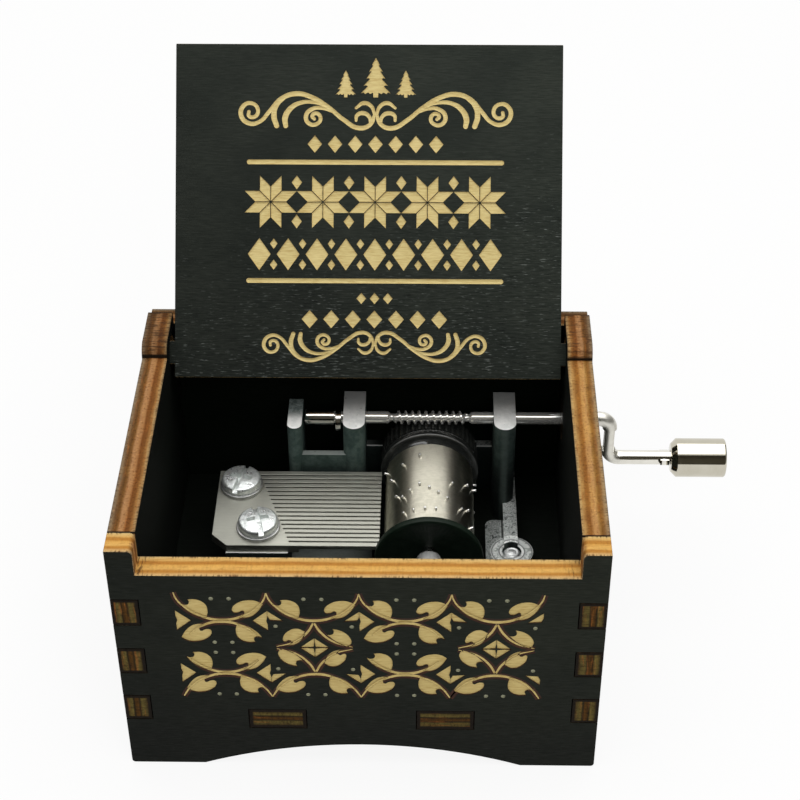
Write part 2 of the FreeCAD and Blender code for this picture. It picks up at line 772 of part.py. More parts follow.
def crank_shaft():
    """One steel rod: the shaft with its worm, bent outside the case into a flattened
    arm and the pin that the knob turns on."""
    body = new_body("crank_shaft", back="shaft_y", up="shaft_z")
    worm_end = "worm_start + thread_turns * thread_pitch"
    rod = Drawing(body, "rod", "XY")
    rod.run([
        ("stub_left", "0"),
        ("stub_left", "shaft_radius"),
        ("worm_start - worm_relief", "shaft_radius"),
        ("worm_start - worm_relief + worm_taper", "worm_core"),
        (f"{worm_end} + worm_relief - worm_taper", "worm_core"),
        (f"{worm_end} + worm_relief", "shaft_radius"),
        ("frame_right + crank_step", "shaft_radius"),
        ("frame_right + crank_step + crank_taper", "crank_radius"),
        ("half_width", "crank_radius"),
        ("half_width", "0"),
    ]).turn("H")
    route = Drawing(body, "route", "XZ")
    route.run([
        ("half_width", "0"),
        ("arm_x - crank_bend", "0", "right", "crank_bend"),
        ("arm_x", "-crank_bend"),
        ("arm_x", "crank_bend - crank_throw", "left", "crank_bend"),
        ("arm_x + crank_bend", "-crank_throw"),
        ("pin_end - head_inset", "-crank_throw"),
    ], closed=False)
    section = Drawing(body, "section", "YZ", "half_width").circle("0", "0", "crank_radius")
    bent = section.feature("AdditivePipe", "_bent")
    bent.Spine = (route.sketch, [])
    flats = Drawing(body, "flats", "XZ", "-crank_radius - overrun")
    for near, far in (("arm_x - crank_radius - overrun", "arm_x - crank_flat / 2"),
                      ("arm_x + crank_flat / 2", "arm_x + crank_radius + overrun")):
        flats.box(near, "crank_bend - crank_throw", far, "-crank_bend")
    flats.cut("2 * (crank_radius + overrun)")
    pinch = Drawing(body, "pinch", "XZ", "-pinch_width / 2")
    pinch.box("knob_start - ear_gap - pinch_length", "-crank_throw - pinch_thick / 2",
              "knob_start - ear_gap", "-crank_throw + pinch_thick / 2")
    pinch.pad("pinch_width")
    head = Drawing(body, "head", "YZ", "pin_end - head_inset")
    head.circle("0", "-crank_throw", "head_radius").pad("head_length")
    profile = Drawing(body, "thread", "XZ")
    profile.run([
        ("worm_start - thread_foot / 2", "worm_core - thread_bite"),
        ("worm_start + thread_foot / 2", "worm_core - thread_bite"),
        ("worm_start + thread_crest / 2", "worm_core + thread_depth"),
        ("worm_start - thread_crest / 2", "worm_core + thread_depth"),
    ])
    thread = profile.feature("AdditiveHelix", "_wound", Pitch="thread_pitch",
                             Turns="thread_turns")
    thread.Mode = "pitch-turns-angle"
    thread.ReferenceAxis = (profile.sketch, ["H_Axis"])


def shaft_collar():
    """The collar that keeps the shaft from sliding out, its hole off its middle."""
    body = new_body("shaft_collar", "collar_right - collar_length", "shaft_y", "shaft_z")
    ring = Drawing(body, "ring", "YZ").circle("-collar_shift", "-collar_drop", "collar_radius")
    ring.circle("0", "0", "shaft_radius + press_gap").pad("collar_length")


def shaft_sleeve():
    """The sleeve on the shaft's inner end, notched where it stops against the side post."""
    body = new_body("shaft_end_sleeve", "stub_left", "shaft_y", "shaft_z")
    Drawing(body, "outline", "XY").run([
        ("0", "shaft_radius + press_gap"),
        ("stub_length", "shaft_radius + press_gap"),
        ("stub_length", "stub_radius"),
        ("stub_chamfer", "stub_radius"),
        ("0", "stub_radius - stub_chamfer / 2"),
    ]).turn("H")
    notch = Drawing(body, "notch", "XZ", "-stub_radius - overrun")
    notch.box("-overrun", "-stub_notch / 2", "stub_notch", "stub_notch / 2")
    notch.cut("2 * (stub_radius + overrun)")


def crank_knob():
    """The steel knob, bored through for the pin and recessed round the pin's head."""
    body = new_body("crank_knob", "knob_start", "shaft_y", "shaft_z - crank_throw")
    bore = "crank_radius + running_gap"
    recess = "head_radius + recess_gap"
    floor = "knob_length - head_inset - recess_floor_gap"
    Drawing(body, "outline", "XY").run([
        ("0", bore),
        (floor, bore),
        (floor, recess),
        ("knob_length", recess),
        ("knob_length", "knob_radius - knob_round", "left", "knob_round"),
        ("knob_length - knob_round", "knob_radius"),
        ("knob_chamfer", "knob_radius"),
        ("0", "knob_radius - knob_chamfer"),
    ]).turn("H")


def cylinder_pins():
    """The steel pins, each standing over the middle of the tooth that it lifts."""
    spots = list(PINS_ON_TOP)
    spots += [((5 * step) % 17, 96 + 12 * step) for step in range(14)]
    pins = []
    for index, (tooth, angle) in enumerate(spots, start=1):
        pin = doc.addObject("Part::Cylinder", f"pin_{index}")
        pin.setExpression("Radius", formula("pin_radius"))
        pin.setExpression("Height", formula("sleeve_wall + pin_height"))
        across, up = math.sin(math.radians(angle)), math.cos(math.radians(angle))
        pin.Placement.Rotation = FreeCAD.Rotation(FreeCAD.Vector(0, 1, 0), angle)
        foot = "(sleeve_radius - sleeve_wall)"
        along = f"comb_rear - {tooth + 0.5} * tooth_pitch"
        pin.setExpression("Placement.Base.x", formula(f"cylinder_x + {foot} * {across:.6f}"))
        pin.setExpression("Placement.Base.y", formula(along))
        pin.setExpression("Placement.Base.z", formula(f"axis_z + {foot} * {up:.6f}"))
        pins.append(pin)
    return group("cylinder_pins", pins)


def cylinder_sleeve(pins):
    """The thin metal sleeve, drilled for its pins."""
    body = new_body("sleeve_blank", "cylinder_x", "sleeve_front", "axis_z")
    ring = Drawing(body, "ring", "XZ").circle("0", "0", "sleeve_radius")
    ring.circle("0", "0", "sleeve_radius - sleeve_wall").pad("sleeve_length")
    drilled = doc.addObject("Part::Cut", "cylinder_sleeve")
    drilled.Label = "cylinder_sleeve"
    drilled.Base = body
    drilled.Tool = pins


def cylinder_gear():
    """The worm wheel, moulded in one with the flange and the plug that carry the sleeve."""
    body = new_body("cylinder_gear", "cylinder_x", "shaft_y", "axis_z")
    flange_rear = "(-wheel_width / 2 - groove_width)"
    flange_front = f"({flange_rear} - flange_width)"
    neck_front = f"({flange_front} - neck_length)"
    plug = "sleeve_radius - sleeve_wall - press_gap"
    Drawing(body, "outline", "XY").run([
        ("arbor_radius + press_gap", f"{neck_front} - plug_length"),
        (plug, f"{neck_front} - plug_length"),
        (plug, neck_front),
        ("sleeve_radius", neck_front),
        ("sleeve_radius", flange_front),
        ("flange_radius", flange_front),
        ("flange_radius", flange_rear),
        ("wheel_radius - groove_depth", flange_rear),
        ("wheel_radius - groove_depth", "-wheel_width / 2"),
        ("wheel_radius", "-wheel_width / 2"),
        ("wheel_radius", "wheel_width / 2"),
        ("arbor_radius + press_gap", "wheel_width / 2"),
    ]).turn("V")
    gap = Drawing(body, "tooth_gap", "XZ", "-wheel_width / 2")
    slope = "(tooth_gap_crest - tooth_gap_root) / 2 / thread_depth"
    mouth = f"(tooth_gap_crest / 2 + {slope} * tooth_overrun)"
    gap.run([
        ("-tooth_gap_root / 2", "wheel_radius - thread_depth"),
        ("tooth_gap_root / 2", "wheel_radius - thread_depth"),
        (mouth, "wheel_radius + tooth_overrun"),
        (f"-{mouth}", "wheel_radius + tooth_overrun"),
    ])
    cut = gap.cut("wheel_width")
    doc.recompute()
    teeth = body.newObject("PartDesign::PolarPattern", "cylinder_gear_teeth")
    teeth.Originals = [cut]
    axes = body.Origin.OriginFeatures
    teeth.Axis = (next(line for line in axes if line.Role == "Y_Axis"), [""])
    teeth.Angle = 360
    teeth.setExpression("Occurrences", formula("wheel_teeth"))
    body.Tip = teeth


def cylinder_cap():
    """The plug in the cylinder's front end, dished round the frame's bearing."""
    body = new_body("cylinder_end_cap", "cylinder_x", "sleeve_front", "axis_z")
    plug = "sleeve_radius - sleeve_wall - press_gap"
    Drawing(body, "outline", "XY").run([
        ("arbor_radius + press_gap", "dish_depth - cap_flange"),
        ("dish_floor", "dish_depth - cap_flange"),
        ("dish_rim", "-cap_flange"),
        ("cap_radius", "-cap_flange"),
        ("cap_radius", "0"),
        (plug, "0"),
        (plug, "plug_length"),
        ("arbor_radius + press_gap", "plug_length"),
    ]).turn("V")


def cylinder_arbor():
    body = new_body("cylinder_arbor", "cylinder_x", "web_front", "axis_z")
    length = "(wall_rear - web_front)"
    Drawing(body, "outline", "XY").run([
        ("0", "0"),
        ("arbor_radius - arbor_chamfer", "0"),
        ("arbor_radius", "arbor_chamfer"),
        ("arbor_radius", f"{length} - arbor_chamfer"),
        ("arbor_radius - arbor_chamfer", length),
        ("0", length),
    ]).turn("V")


def check(piece):
    """Stops with a plain message if a feature failed or a cut missed."""
    for item in getattr(piece, "Group", []):
        base = getattr(item, "BaseFeature", None)
        if base is not None and item.isDerivedFrom("PartDesign::Feature"):
            change = item.Shape.Volume - base.Shape.Volume
            if abs(change) < 1e-6:
                raise RuntimeError(f"{item.Name} changes nothing")
    if piece.Shape.isNull() or not piece.Shape.isValid():
        raise RuntimeError(f"{piece.Label} has no valid shape")


end_wall("front_panel", front=True)
end_wall("back_panel", front=False)
side_wall("left_panel", right=False)
side_wall("right_panel", right=True)
floor_panel()
lid()
movement_frame()
comb()
tuning_weights()
group("comb_screws", [
    comb_screw("comb_screw_1", *COMB_SCREWS[0], -15),
    comb_screw("comb_screw_2", *COMB_SCREWS[1], 14),
])
group("comb_washers", [
    comb_washer("comb_washer_1", *COMB_SCREWS[0]),
    comb_washer("comb_washer_2", *COMB_SCREWS[1]),
])
group("mounting_screws", [
    case_screw(f"mounting_screw_{index}", *lug) for index, lug in enumerate(LUGS, start=1)
])
crank_shaft()
shaft_collar()
shaft_sleeve()
crank_knob()
cylinder_sleeve(cylinder_pins())
cylinder_gear()
cylinder_cap()
cylinder_arbor()
doc.recompute()

NODES = (
    "front_panel", "back_panel", "left_panel", "right_panel", "bottom_panel", "lid",
    "movement_frame", "comb", "tuning_weights", "comb_screws", "comb_washers",
    "mounting_screws", "crank_shaft", "shaft_collar", "shaft_end_sleeve", "crank_knob",
    "cylinder_sleeve", "cylinder_pins", "cylinder_gear", "cylinder_end_cap",
    "cylinder_arbor",
)

for item in doc.Objects:
    if "Invalid" in item.State or "Error" in item.State:
        raise RuntimeError(f"{item.Name} failed: {item.State}")
os.makedirs("parts", exist_ok=True)
for label in NODES:
    piece = doc.getObjectsByLabel(label)[0]
    check(piece)
    piece.Shape.exportStep(f"parts/{label}.step")
    box = piece.Shape.BoundBox
    print(f"{label:18s} {len(piece.Shape.Solids):3d} solids {piece.Shape.Volume:9.2f} mm3  "
          f"x {box.XMin:7.2f} {box.XMax:7.2f}  y {box.YMin:7.2f} {box.YMax:7.2f}  "
          f"z {box.ZMin:7.2f} {box.ZMax:7.2f}")
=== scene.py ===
import json
import math
from functools import partial

import bmesh
import bpy
from mathutils import Matrix, Vector

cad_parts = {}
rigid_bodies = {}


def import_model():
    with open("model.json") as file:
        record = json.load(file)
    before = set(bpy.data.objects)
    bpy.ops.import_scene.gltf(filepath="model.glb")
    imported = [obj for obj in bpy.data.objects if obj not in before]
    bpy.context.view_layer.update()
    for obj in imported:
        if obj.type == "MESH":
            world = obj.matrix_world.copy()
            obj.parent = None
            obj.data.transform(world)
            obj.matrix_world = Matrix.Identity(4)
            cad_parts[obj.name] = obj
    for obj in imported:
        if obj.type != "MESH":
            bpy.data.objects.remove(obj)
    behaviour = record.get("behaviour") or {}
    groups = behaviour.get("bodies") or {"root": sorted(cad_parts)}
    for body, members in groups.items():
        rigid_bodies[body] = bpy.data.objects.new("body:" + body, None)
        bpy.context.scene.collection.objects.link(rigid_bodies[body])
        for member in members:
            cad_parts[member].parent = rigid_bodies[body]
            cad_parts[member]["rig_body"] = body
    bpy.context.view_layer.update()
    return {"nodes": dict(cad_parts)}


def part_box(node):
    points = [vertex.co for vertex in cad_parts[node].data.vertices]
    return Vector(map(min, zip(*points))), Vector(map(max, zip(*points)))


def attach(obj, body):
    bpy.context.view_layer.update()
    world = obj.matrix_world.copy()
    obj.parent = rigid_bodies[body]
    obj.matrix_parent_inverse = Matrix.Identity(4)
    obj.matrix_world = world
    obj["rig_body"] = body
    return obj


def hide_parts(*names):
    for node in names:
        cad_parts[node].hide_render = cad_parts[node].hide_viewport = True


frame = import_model()
nodes = frame["nodes"]

# Lengths below are in millimetres, and MM brings them to metres.
MM = 0.001
PLY = 3.6
HALF_WIDTH = 32
HALF_DEPTH = 26
WALL_TOP = 40
NOTCH_TOP = 36
FLOOR_MIDDLE = 9.2
# The middle and half the width of a tab, along X on the front and back and along Y on
# the sides; the fingers start at a height and come once a pitch.
FRONT_TAB = (11.35, 3.85)
SIDE_TAB = (9, 3.85)
FINGER_FOOT = 9
FINGER_PITCH = 9
FINGER_HALF = 2.25
LID_ANGLE = 127.95
HINGE = Vector((0, 18.3, 37.8))
CYLINDER = Vector((9, 0, 19))
SHAFT = Vector((0, 17.2, 26.843))
KNOB = Vector((49, 17.2, 19.443))
LUG = (21.1, 2.65, 0)
LUG_RADIUS = 3.2
# The wheel's flange: along Y its middle, half its thickness and a place behind it, and a
# radius just inside its rim
FLANGE_MIDDLE = 14.55
FLANGE_HALF = 0.5
FLANGE_REAR = 15.2
FLANGE_REACH = 7


# The camera of the photograph

CAMERA_AT = Vector((8.8676, -196.5671, 201.6329))
CAMERA_TILT = math.radians(38.7343)
CAMERA_TURN = math.radians(-1.1401)
CAMERA_ROLL = math.radians(-0.3331)


def linked(name, data):
    """A new object in the scene, at the origin."""
    made = bpy.data.objects.new(name, data)
    bpy.context.scene.collection.objects.link(made)
    return made


def photo_camera():
    data = bpy.data.cameras.new("photo_camera")
    data.sensor_width = 36
    data.lens = 84.112
    data.clip_start = 0.01
    camera = linked("photo_camera", data)
    camera.matrix_world = (Matrix.Translation(CAMERA_AT * MM)
                           @ Matrix.Rotation(-CAMERA_TURN, 4, "Z")
                           @ Matrix.Rotation(math.pi / 2 - CAMERA_TILT, 4, "X")
                           @ Matrix.Rotation(CAMERA_ROLL, 4, "Z"))
    bpy.context.scene.camera = camera


# Node trees. A feed is a number, a tuple, a socket, or a node for its first output; a
# helper adds its nodes to the tree that its feeds are in.

def tree_of(feeds):
    kinds = (bpy.types.Node, bpy.types.NodeSocket)
    return next(feed.id_data for feed in feeds if isinstance(feed, kinds))


def join(feed, socket):
    """Sets a socket to a constant or links it."""
    if isinstance(feed, bpy.types.Node):
        feed = next(s for s in feed.outputs if s.enabled)
    if isinstance(feed, bpy.types.NodeSocket):
        socket.id_data.links.new(feed, socket)
    elif isinstance(feed, tuple) and len(feed) == 3 and socket.type == "RGBA":
        socket.default_value = (*feed, 1)
    else:
        socket.default_value = feed


def fill(node, **feeds):
    """Feeds a node's sockets, named with underscores for spaces."""
    for name, feed in feeds.items():
        wanted = name.replace("_", " ")
        join(feed, next(s for s in node.inputs if s.name == wanted and s.enabled))
    return node


def put(kind, settings=None, tree=None, **feeds):
    """Adds a node; the tree is given only where no feed is linked."""
    made = (tree or tree_of(feeds.values())).nodes.new("ShaderNode" + kind)
    for name, setting in (settings or {}).items():
        setattr(made, name, setting)
    return fill(made, **feeds)


def sums(operation, *feeds, clamp=False):
    made = tree_of(feeds).nodes.new("ShaderNodeMath")
    made.operation = operation
    made.use_clamp = clamp
    for feed, socket in zip(feeds, made.inputs):
        join(feed, socket)
    return made.outputs[0]


def chain(operation, total, *others):
    for feed in others:
        total = sums(operation, total, feed)
    return total


times = partial(chain, "MULTIPLY")
plus = partial(chain, "ADD")
minus = partial(chain, "SUBTRACT")
most = partial(chain, "MAXIMUM")
times_plus = partial(sums, "MULTIPLY_ADD")


def apart(value, middle=None):
    """How far a value is from a middle, or from zero."""
    return sums("ABSOLUTE", value if middle is None else minus(value, middle))


def vector(operation, *feeds):
    made = tree_of(feeds).nodes.new("ShaderNodeVectorMath")
    made.operation = operation
    for feed, socket in zip(feeds, [s for s in made.inputs if s.enabled]):
        join(feed, socket)
    return made.outputs["Value" if operation == "LENGTH" else "Vector"]


def split(where):
    return put("SeparateXYZ", Vector=where).outputs


def blend(share, first, second, mode="MIX"):
    made = tree_of((share, first, second)).nodes.new("ShaderNodeMix")
    made.data_type = "RGBA"
    made.blend_type = mode
    # A mix node's sockets for colours come after those for numbers and vectors.
    for feed, number in ((share, 0), (first, 6), (second, 7)):
        join(feed, made.inputs[number])
    return made.outputs[2]


def spread(value, low, high, start=0, end=1):
    """Brings a range of values to another, held at its ends."""
    made = value.id_data.nodes.new("ShaderNodeMapRange")
    made.interpolation_type = "SMOOTHSTEP"
    for feed, socket in zip((value, low, high, start, end), made.inputs):
        join(feed, socket)
    return made.outputs[0]


def fall(value, low, high):
    return spread(value, low, high, 1, 0)


def noise(where, scale, detail, rough, twist=0):
    return put("TexNoise", Vector=where, Scale=scale, Detail=detail, Roughness=rough,
               Distortion=twist).outputs[0]


def speckle(where, stretch, scale, detail=3, rough=0.5, twist=0):
    """Noise on coordinates in millimetres, stretched by three factors."""
    return noise(vector("MULTIPLY", where, stretch), scale, detail, rough, twist)


def ramp(value, stops):
    made = value.id_data.nodes.new("ShaderNodeValToRGB")
    join(value, made.inputs[0])
    band = made.color_ramp
    while len(band.elements) < len(stops):
        band.elements.new(0.5)
    for element, (place, colour) in zip(band.elements, stops):
        element.position = place
        element.color = (*colour, 1)
    return made.outputs[0]


def over(tone, *layers):
    """Lays colours over a tone, each with its share."""
    for share, colour in layers:
        tone = blend(share, tone, colour)
    return tone


def effect(name, gives, **takes):
    """An empty group, with what it takes and the node for what it gives. It takes a
    vector where the start isn't a number."""
    group = bpy.data.node_groups.new(name, "ShaderNodeTree")
    for title, first in takes.items():
        kind = "Float" if isinstance(first, float) else "Vector"
        socket = group.interface.new_socket(title, in_out="INPUT", socket_type="NodeSocket" + kind)
        if first is not None:
            socket.default_value = first
    for title in gives:
        kind = "Color" if title == "Color" else "Float"
        group.interface.new_socket(title, in_out="OUTPUT", socket_type="NodeSocket" + kind)
    return group, group.nodes.new("NodeGroupInput").outputs, group.nodes.new("NodeGroupOutput")


def use(group, **feeds):
    made = tree_of(feeds.values()).nodes.new("ShaderNodeGroup")
    made.node_tree = group
    return fill(made, **feeds)


# Shared effects

def stained_wood():
    """Black stain over the grain that runs along X, with pale ticks where the stain runs sparse
    and open pores. Inside blends it towards near black with a duller finish: painted shade on
    the case's inward faces and a darker tone on outward ones. Shade multiplies it by a tint and
    by painted light and shade, above 1 where painted lighter."""
    group, take, gives = effect(
        "stained_wood", ("Color", "Height", "Roughness"), Place=None, Ticks=1.0, Inside=0.0,
        Shade=(1, 1, 1))
    place = take["Place"]
    grain = speckle(place, (0.09, 1, 1), 5.5, 4, 0.6, 0.3)
    ticks = speckle(place, (0.3, 1.9, 1.9), 2.6, 2, 0.45)
    fine = speckle(place, (0.3, 2.5, 2.5), 4, 3, 0.6)
    pores = speckle(place, (0.2, 2.2, 2.2), 3, 2, 0.5)
    cloud = speckle(place, (0.3, 0.5, 0.5), 0.25, 2)
    patch = speckle(place, (0.5, 0.8, 0.8), 0.16, 2)
    many = times(take["Ticks"], spread(patch, 0.35, 0.65, 0.5, 1))
    shown = spread(times_plus(many, 0.08, ticks), 0.64, 0.78)
    shown = times(shown, spread(fine, 0.42, 0.6), many)
    lively = times_plus(take["Ticks"], 0.5, 0.5)
    share = times_plus(minus(spread(grain, 0.3, 0.75), 0.5), lively, 0.5)
    open_pores = times(spread(pores, 0.6, 0.7), many)
    tone = over(blend(share, (0.0095, 0.0115, 0.0088), (0.026, 0.0285, 0.0225)),
                (spread(cloud, 0.35, 0.7, 0, 0.6), (0.0085, 0.0105, 0.0085)),
                (open_pores, (0.0015, 0.002, 0.0016)))
    # Shade brings in the tint and the painted light and shade.
    tone = blend(shown, vector("MULTIPLY", tone, take["Shade"]), (0.15, 0.165, 0.15))
    height = plus(times(grain, 0.6), times(fine, 0.25))
    matt = times(take["Inside"], 0.2)
    # Inside blends towards near black: painted shade of the box's interior on inward faces, a
    # plain darker tone on outward ones.
    fill(gives, Color=blend(take["Inside"], tone, (0.0018, 0.003, 0.0018)),
         Height=minus(height, times(open_pores, 0.5)),
         Roughness=plus(spread(grain, 0.3, 0.7, 0.66, 0.5), matt))
    return group


def ply_layers():
    """The cut edge of five-ply. Depth runs from -1 inside to 1 outside, Through stretches
    the laser's stripes across the edge and Along the fibres, Char runs from clean wood
    at 0 by scorched at 0.5 to burnt at 1, and End is 1 on the ends of fingers and tabs."""
    group, take, gives = effect(
        "ply_layers", ("Color", "Height"), Depth=0.0, Place=None, Through=(0.12, 1, 1),
        Along=(1, 0.08, 0.08), Stripes=0.3, Char=0.0, End=0.0)
    place = take["Place"]
    streaks = speckle(place, take["Through"], 3.6, 3, 0.7)
    fibres = speckle(place, take["Along"], 3.2, 4, 0.6)
    wander = speckle(place, (0.14, 0.14, 0.14), 1, 2)
    blot = speckle(place, (0.35, 0.35, 0.35), 1, 2)
    flecks = noise(place, 2.6, 3, 0.75)
    depth = plus(take["Depth"], times(minus(wander, 0.5), 0.24), times(minus(fibres, 0.5), 0.13))
    share = times_plus(depth, 0.5, 0.5)
    clean = ramp(share, (
        (0, (0.45, 0.32, 0.15)), (0.08, (0.62, 0.41, 0.15)), (0.19, (0.6, 0.35, 0.105)),
        (0.27, (0.43, 0.195, 0.038)), (0.37, (0.44, 0.195, 0.034)), (0.46, (0.64, 0.35, 0.085)),
        (0.64, (0.66, 0.38, 0.105)), (0.73, (0.44, 0.195, 0.034)), (0.81, (0.45, 0.21, 0.045)),
        (0.88, (0.56, 0.33, 0.12)), (0.96, (0.6, 0.4, 0.17)), (1, (0.34, 0.24, 0.13))))
    scorched = ramp(share, (
        (0, (0.17, 0.12, 0.06)), (0.07, (0.36, 0.22, 0.09)), (0.15, (0.27, 0.125, 0.035)),
        (0.23, (0.16, 0.06, 0.013)), (0.36, (0.15, 0.05, 0.01)), (0.44, (0.33, 0.16, 0.06)),
        (0.58, (0.37, 0.19, 0.08)), (0.66, (0.16, 0.07, 0.018)), (0.74, (0.1, 0.043, 0.01)),
        (0.83, (0.13, 0.065, 0.025)), (0.92, (0.2, 0.14, 0.08)), (1, (0.2, 0.16, 0.115))))
    ends = ramp(share, (
        (0, (0.008, 0.005, 0.003)), (0.1, (0.03, 0.019, 0.006)), (0.2, (0.08, 0.06, 0.016)),
        (0.33, (0.095, 0.072, 0.018)), (0.4, (0.014, 0.009, 0.003)), (0.47, (0.07, 0.03, 0.004)),
        (0.55, (0.055, 0.024, 0.003)), (0.62, (0.01, 0.007, 0.002)), (0.69, (0.115, 0.086, 0.022)),
        (0.8, (0.08, 0.06, 0.015)), (0.88, (0.018, 0.013, 0.005)), (1, (0.03, 0.023, 0.011))))
    burnt = times_plus(minus(blot, 0.5), 0.3, take["Char"], clamp=True)
    end = take["End"]
    rim = spread(apart(take["Depth"]), 0.72, 0.95, 0, 0.75)
    dark = times(spread(streaks, 0.48, 0.62), most(take["Stripes"], rim))
    tone = over(clean, (spread(burnt, 0, 0.5), scorched), (end, ends),
                (spread(fibres, 0.5, 0.75, 0, 0.55), (0.3, 0.1, 0.02)),
                (dark, blend(end, (0.06, 0.026, 0.01), (0.02, 0.012, 0.005))),
                (spread(burnt, 0.5, 1), (0.009, 0.006, 0.0035)))
    rough = spread(burnt, 0, 0.4, 0.3, 1)
    light = times(spread(flecks, 0.53, 0.7, 0, 0.8), rough)
    tone = blend(light, tone, (1.5, 1.45, 1.35), "MULTIPLY")
    deep = times(spread(flecks, 0.33, 0.47, 0.85, 0), rough)
    tone = blend(deep, tone, (0.45, 0.36, 0.3), "MULTIPLY")
    fill(gives, Color=tone, Height=plus(times(streaks, 0.6), times(fibres, 0.4)))
    return group


def bare_grain():
    """Wood laid bare by the laser: golden with fine lines along X."""
    group, take, gives = effect("bare_grain", ("Color", "Height"), Place=None)
    place = take["Place"]
    lines = speckle(place, (0.1, 1, 1), 6, 4, 0.6, 0.4)
    cloud = speckle(place, (0.3, 0.5, 0.5), 0.8, 2)
    tone = blend(spread(lines, 0.35, 0.75), (0.56, 0.44, 0.175), (0.4, 0.27, 0.085))
    tone = blend(spread(cloud, 0.4, 0.75, 0, 0.4), tone, (0.62, 0.48, 0.2))
    fill(gives, Color=tone, Height=lines)
    return group


def fine_lines():
    """Close parallel tool marks. Stretch is small along the marks and 1 across them."""
    group, take, gives = effect("fine_lines", ("Mask", "Height"), Place=None,
                                Stretch=(0.05, 1, 1), Closeness=12.0)
    lines = vector("MULTIPLY", take["Place"], take["Stretch"])
    near = noise(lines, take["Closeness"], 4, 0.7)
    fill(gives, Height=near, Mask=spread(near, 0.3, 0.7))
    return group


def handling():
    """Smudges and small nicks that change how a plated or cast face shines."""
    group, take, gives = effect("handling", ("Smudge", "Nicks"), Place=None, Size=0.6)
    place = take["Place"]
    soft = noise(place, take["Size"], 3, 0.55)
    small = noise(place, times(take["Size"], 6), 2, 0.5)
    fill(gives, Smudge=spread(soft, 0.35, 0.65), Nicks=spread(small, 0.64, 0.7))
    return group


STAINED = stained_wood()
LAYERS = ply_layers()
BARE = bare_grain()
LINES = fine_lines()
HANDLING = handling()


# Materials

def bare_tree(block):
    """The emptied node tree of a material or a world."""
    block.use_nodes = True
    block.node_tree.nodes.clear()
    return block.node_tree


def start(name):
    """A material with its shader, the place in millimetres and the object's normal."""
    material = bpy.data.materials.new(name)
    tree = bare_tree(material)
    shader = tree.nodes.new("ShaderNodeBsdfPrincipled")
    join(shader, tree.nodes.new("ShaderNodeOutputMaterial").inputs[0])
    source = tree.nodes.new("ShaderNodeTexCoord").outputs
    place = vector("MULTIPLY", source["Object"], (1 / MM, 1 / MM, 1 / MM))
    return material, shader, place, source["Normal"]


def bump(shader, height, strength, depth):
    """Depth is in millimetres."""
    fill(shader, Normal=put("Bump", Height=height, Strength=strength, Distance=depth * MM))


def lid_flat(place, normal):
    """Turns the leaning lid's coordinates flat, about its hinge."""
    flat, faces = [
        put("VectorRotate", {"rotation_type": "X_AXIS"}, Vector=feed, Center=about,
            Angle=math.radians(LID_ANGLE)).outputs[0]
        for feed, about in ((place, tuple(HINGE)), (normal, (0, 0, 0)))]
    return vector("SUBTRACT", flat, tuple(HINGE)), faces


def within(value, middle, half):
    """How far inside a band a value lies, with the band mirrored about zero."""
    return minus(half, apart(apart(value), middle))


def ply(name, axis, middle, ticks, scorch, inside=0, outside=0, leaning=False):
    """Stained faces and layered edges of a sheet. axis is its thickness direction, scorch
    gives its edges' char, stripes and bare ends, and inside and outside how much darker
    its inward and outward faces are; the inward darkening is painted shade of the box's
    interior. The faces also get painted light and shade: lighter to the right and darker
    towards the bottom, and on the lid lighter to the right and towards its free edge."""
    material, shader, place, normal = start(name)
    if leaning:
        place, normal = lid_flat(place, normal)
    x, y, z = parts = split(place)
    faces = split(normal)
    deep = minus(apart(parts[axis]), middle) if middle else parts[axis]
    through = tuple(0.12 if a == axis else 1 for a in range(3))
    along = tuple(1 if a == axis else 0.1 for a in range(3))
    char, stripes, end = scorch(x, y, z, faces)
    edge = use(LAYERS, Depth=sums("DIVIDE", deep, PLY / 2), Place=place, Through=through,
               Along=along, Stripes=stripes, Char=char, End=end).outputs
    # Inward faces are darkened as painted shade of the box's interior; outward faces get a plain
    # darker tone.
    inward = sums("LESS_THAN", deep, 0)
    shade_and_darkening = times_plus(inward, inside - outside, outside)
    if leaning:
        ticks = spread(times_plus(x, 0.3, y), -HALF_WIDTH, -2, 0.15, ticks)
        # Painted light: the lid lighter to the right and towards its free edge.
        painted_light = spread(minus(x, y), -25, 60, 0.82, 1.34)
        tint = (0.99, 1.04, 1.05)
    else:
        # Painted light and shade: lighter to the right and darker towards the bottom.
        painted_light = times(spread(z, 0, 26, 0.4, 1), spread(x, -HALF_WIDTH, HALF_WIDTH, 0.88, 1.28))
        tint = (1.02, 1.05, 0.88)
    face = use(STAINED, Place=place, Ticks=ticks, Inside=shade_and_darkening,
               Shade=vector("SCALE", tint, painted_light)).outputs
    on_face = spread(apart(faces[axis]), 0.6, 0.8)
    fill(shader, Base_Color=blend(on_face, edge["Color"], face["Color"]),
         Roughness=plus(times(face["Roughness"], on_face), times(minus(1, on_face), 0.8)),
         Specular_IOR_Level=0.12)
    height = put("Mix", Factor=on_face, A=edge["Height"], B=face["Height"])
    bump(shader, height.outputs[0], 0.5, 0.06)
    return material


def border(inner, other):
    """Char round the rim of a finger or tab, from how far inside it a point lies."""
    return fall(sums("MINIMUM", inner, other), 0.12, 0.62)


def wall_scorch(x, y, z, faces):
    """The slots and the arched foot are burnt, and the notch's ends and the back wall's
    top scorched."""
    low = spread(z, NOTCH_TOP - 1, NOTCH_TOP - 0.8, 0.95, 0)
    char = times_plus(apart(faces[0]), 0.35, low)
    char = times_plus(sums("GREATER_THAN", y, 0), 0.5, char)
    near_end = times(spread(apart(x), 26, 28.3, 0, 0.8), fall(z, NOTCH_TOP, NOTCH_TOP + 0.3))
    return char, plus(near_end, 0.1), 0


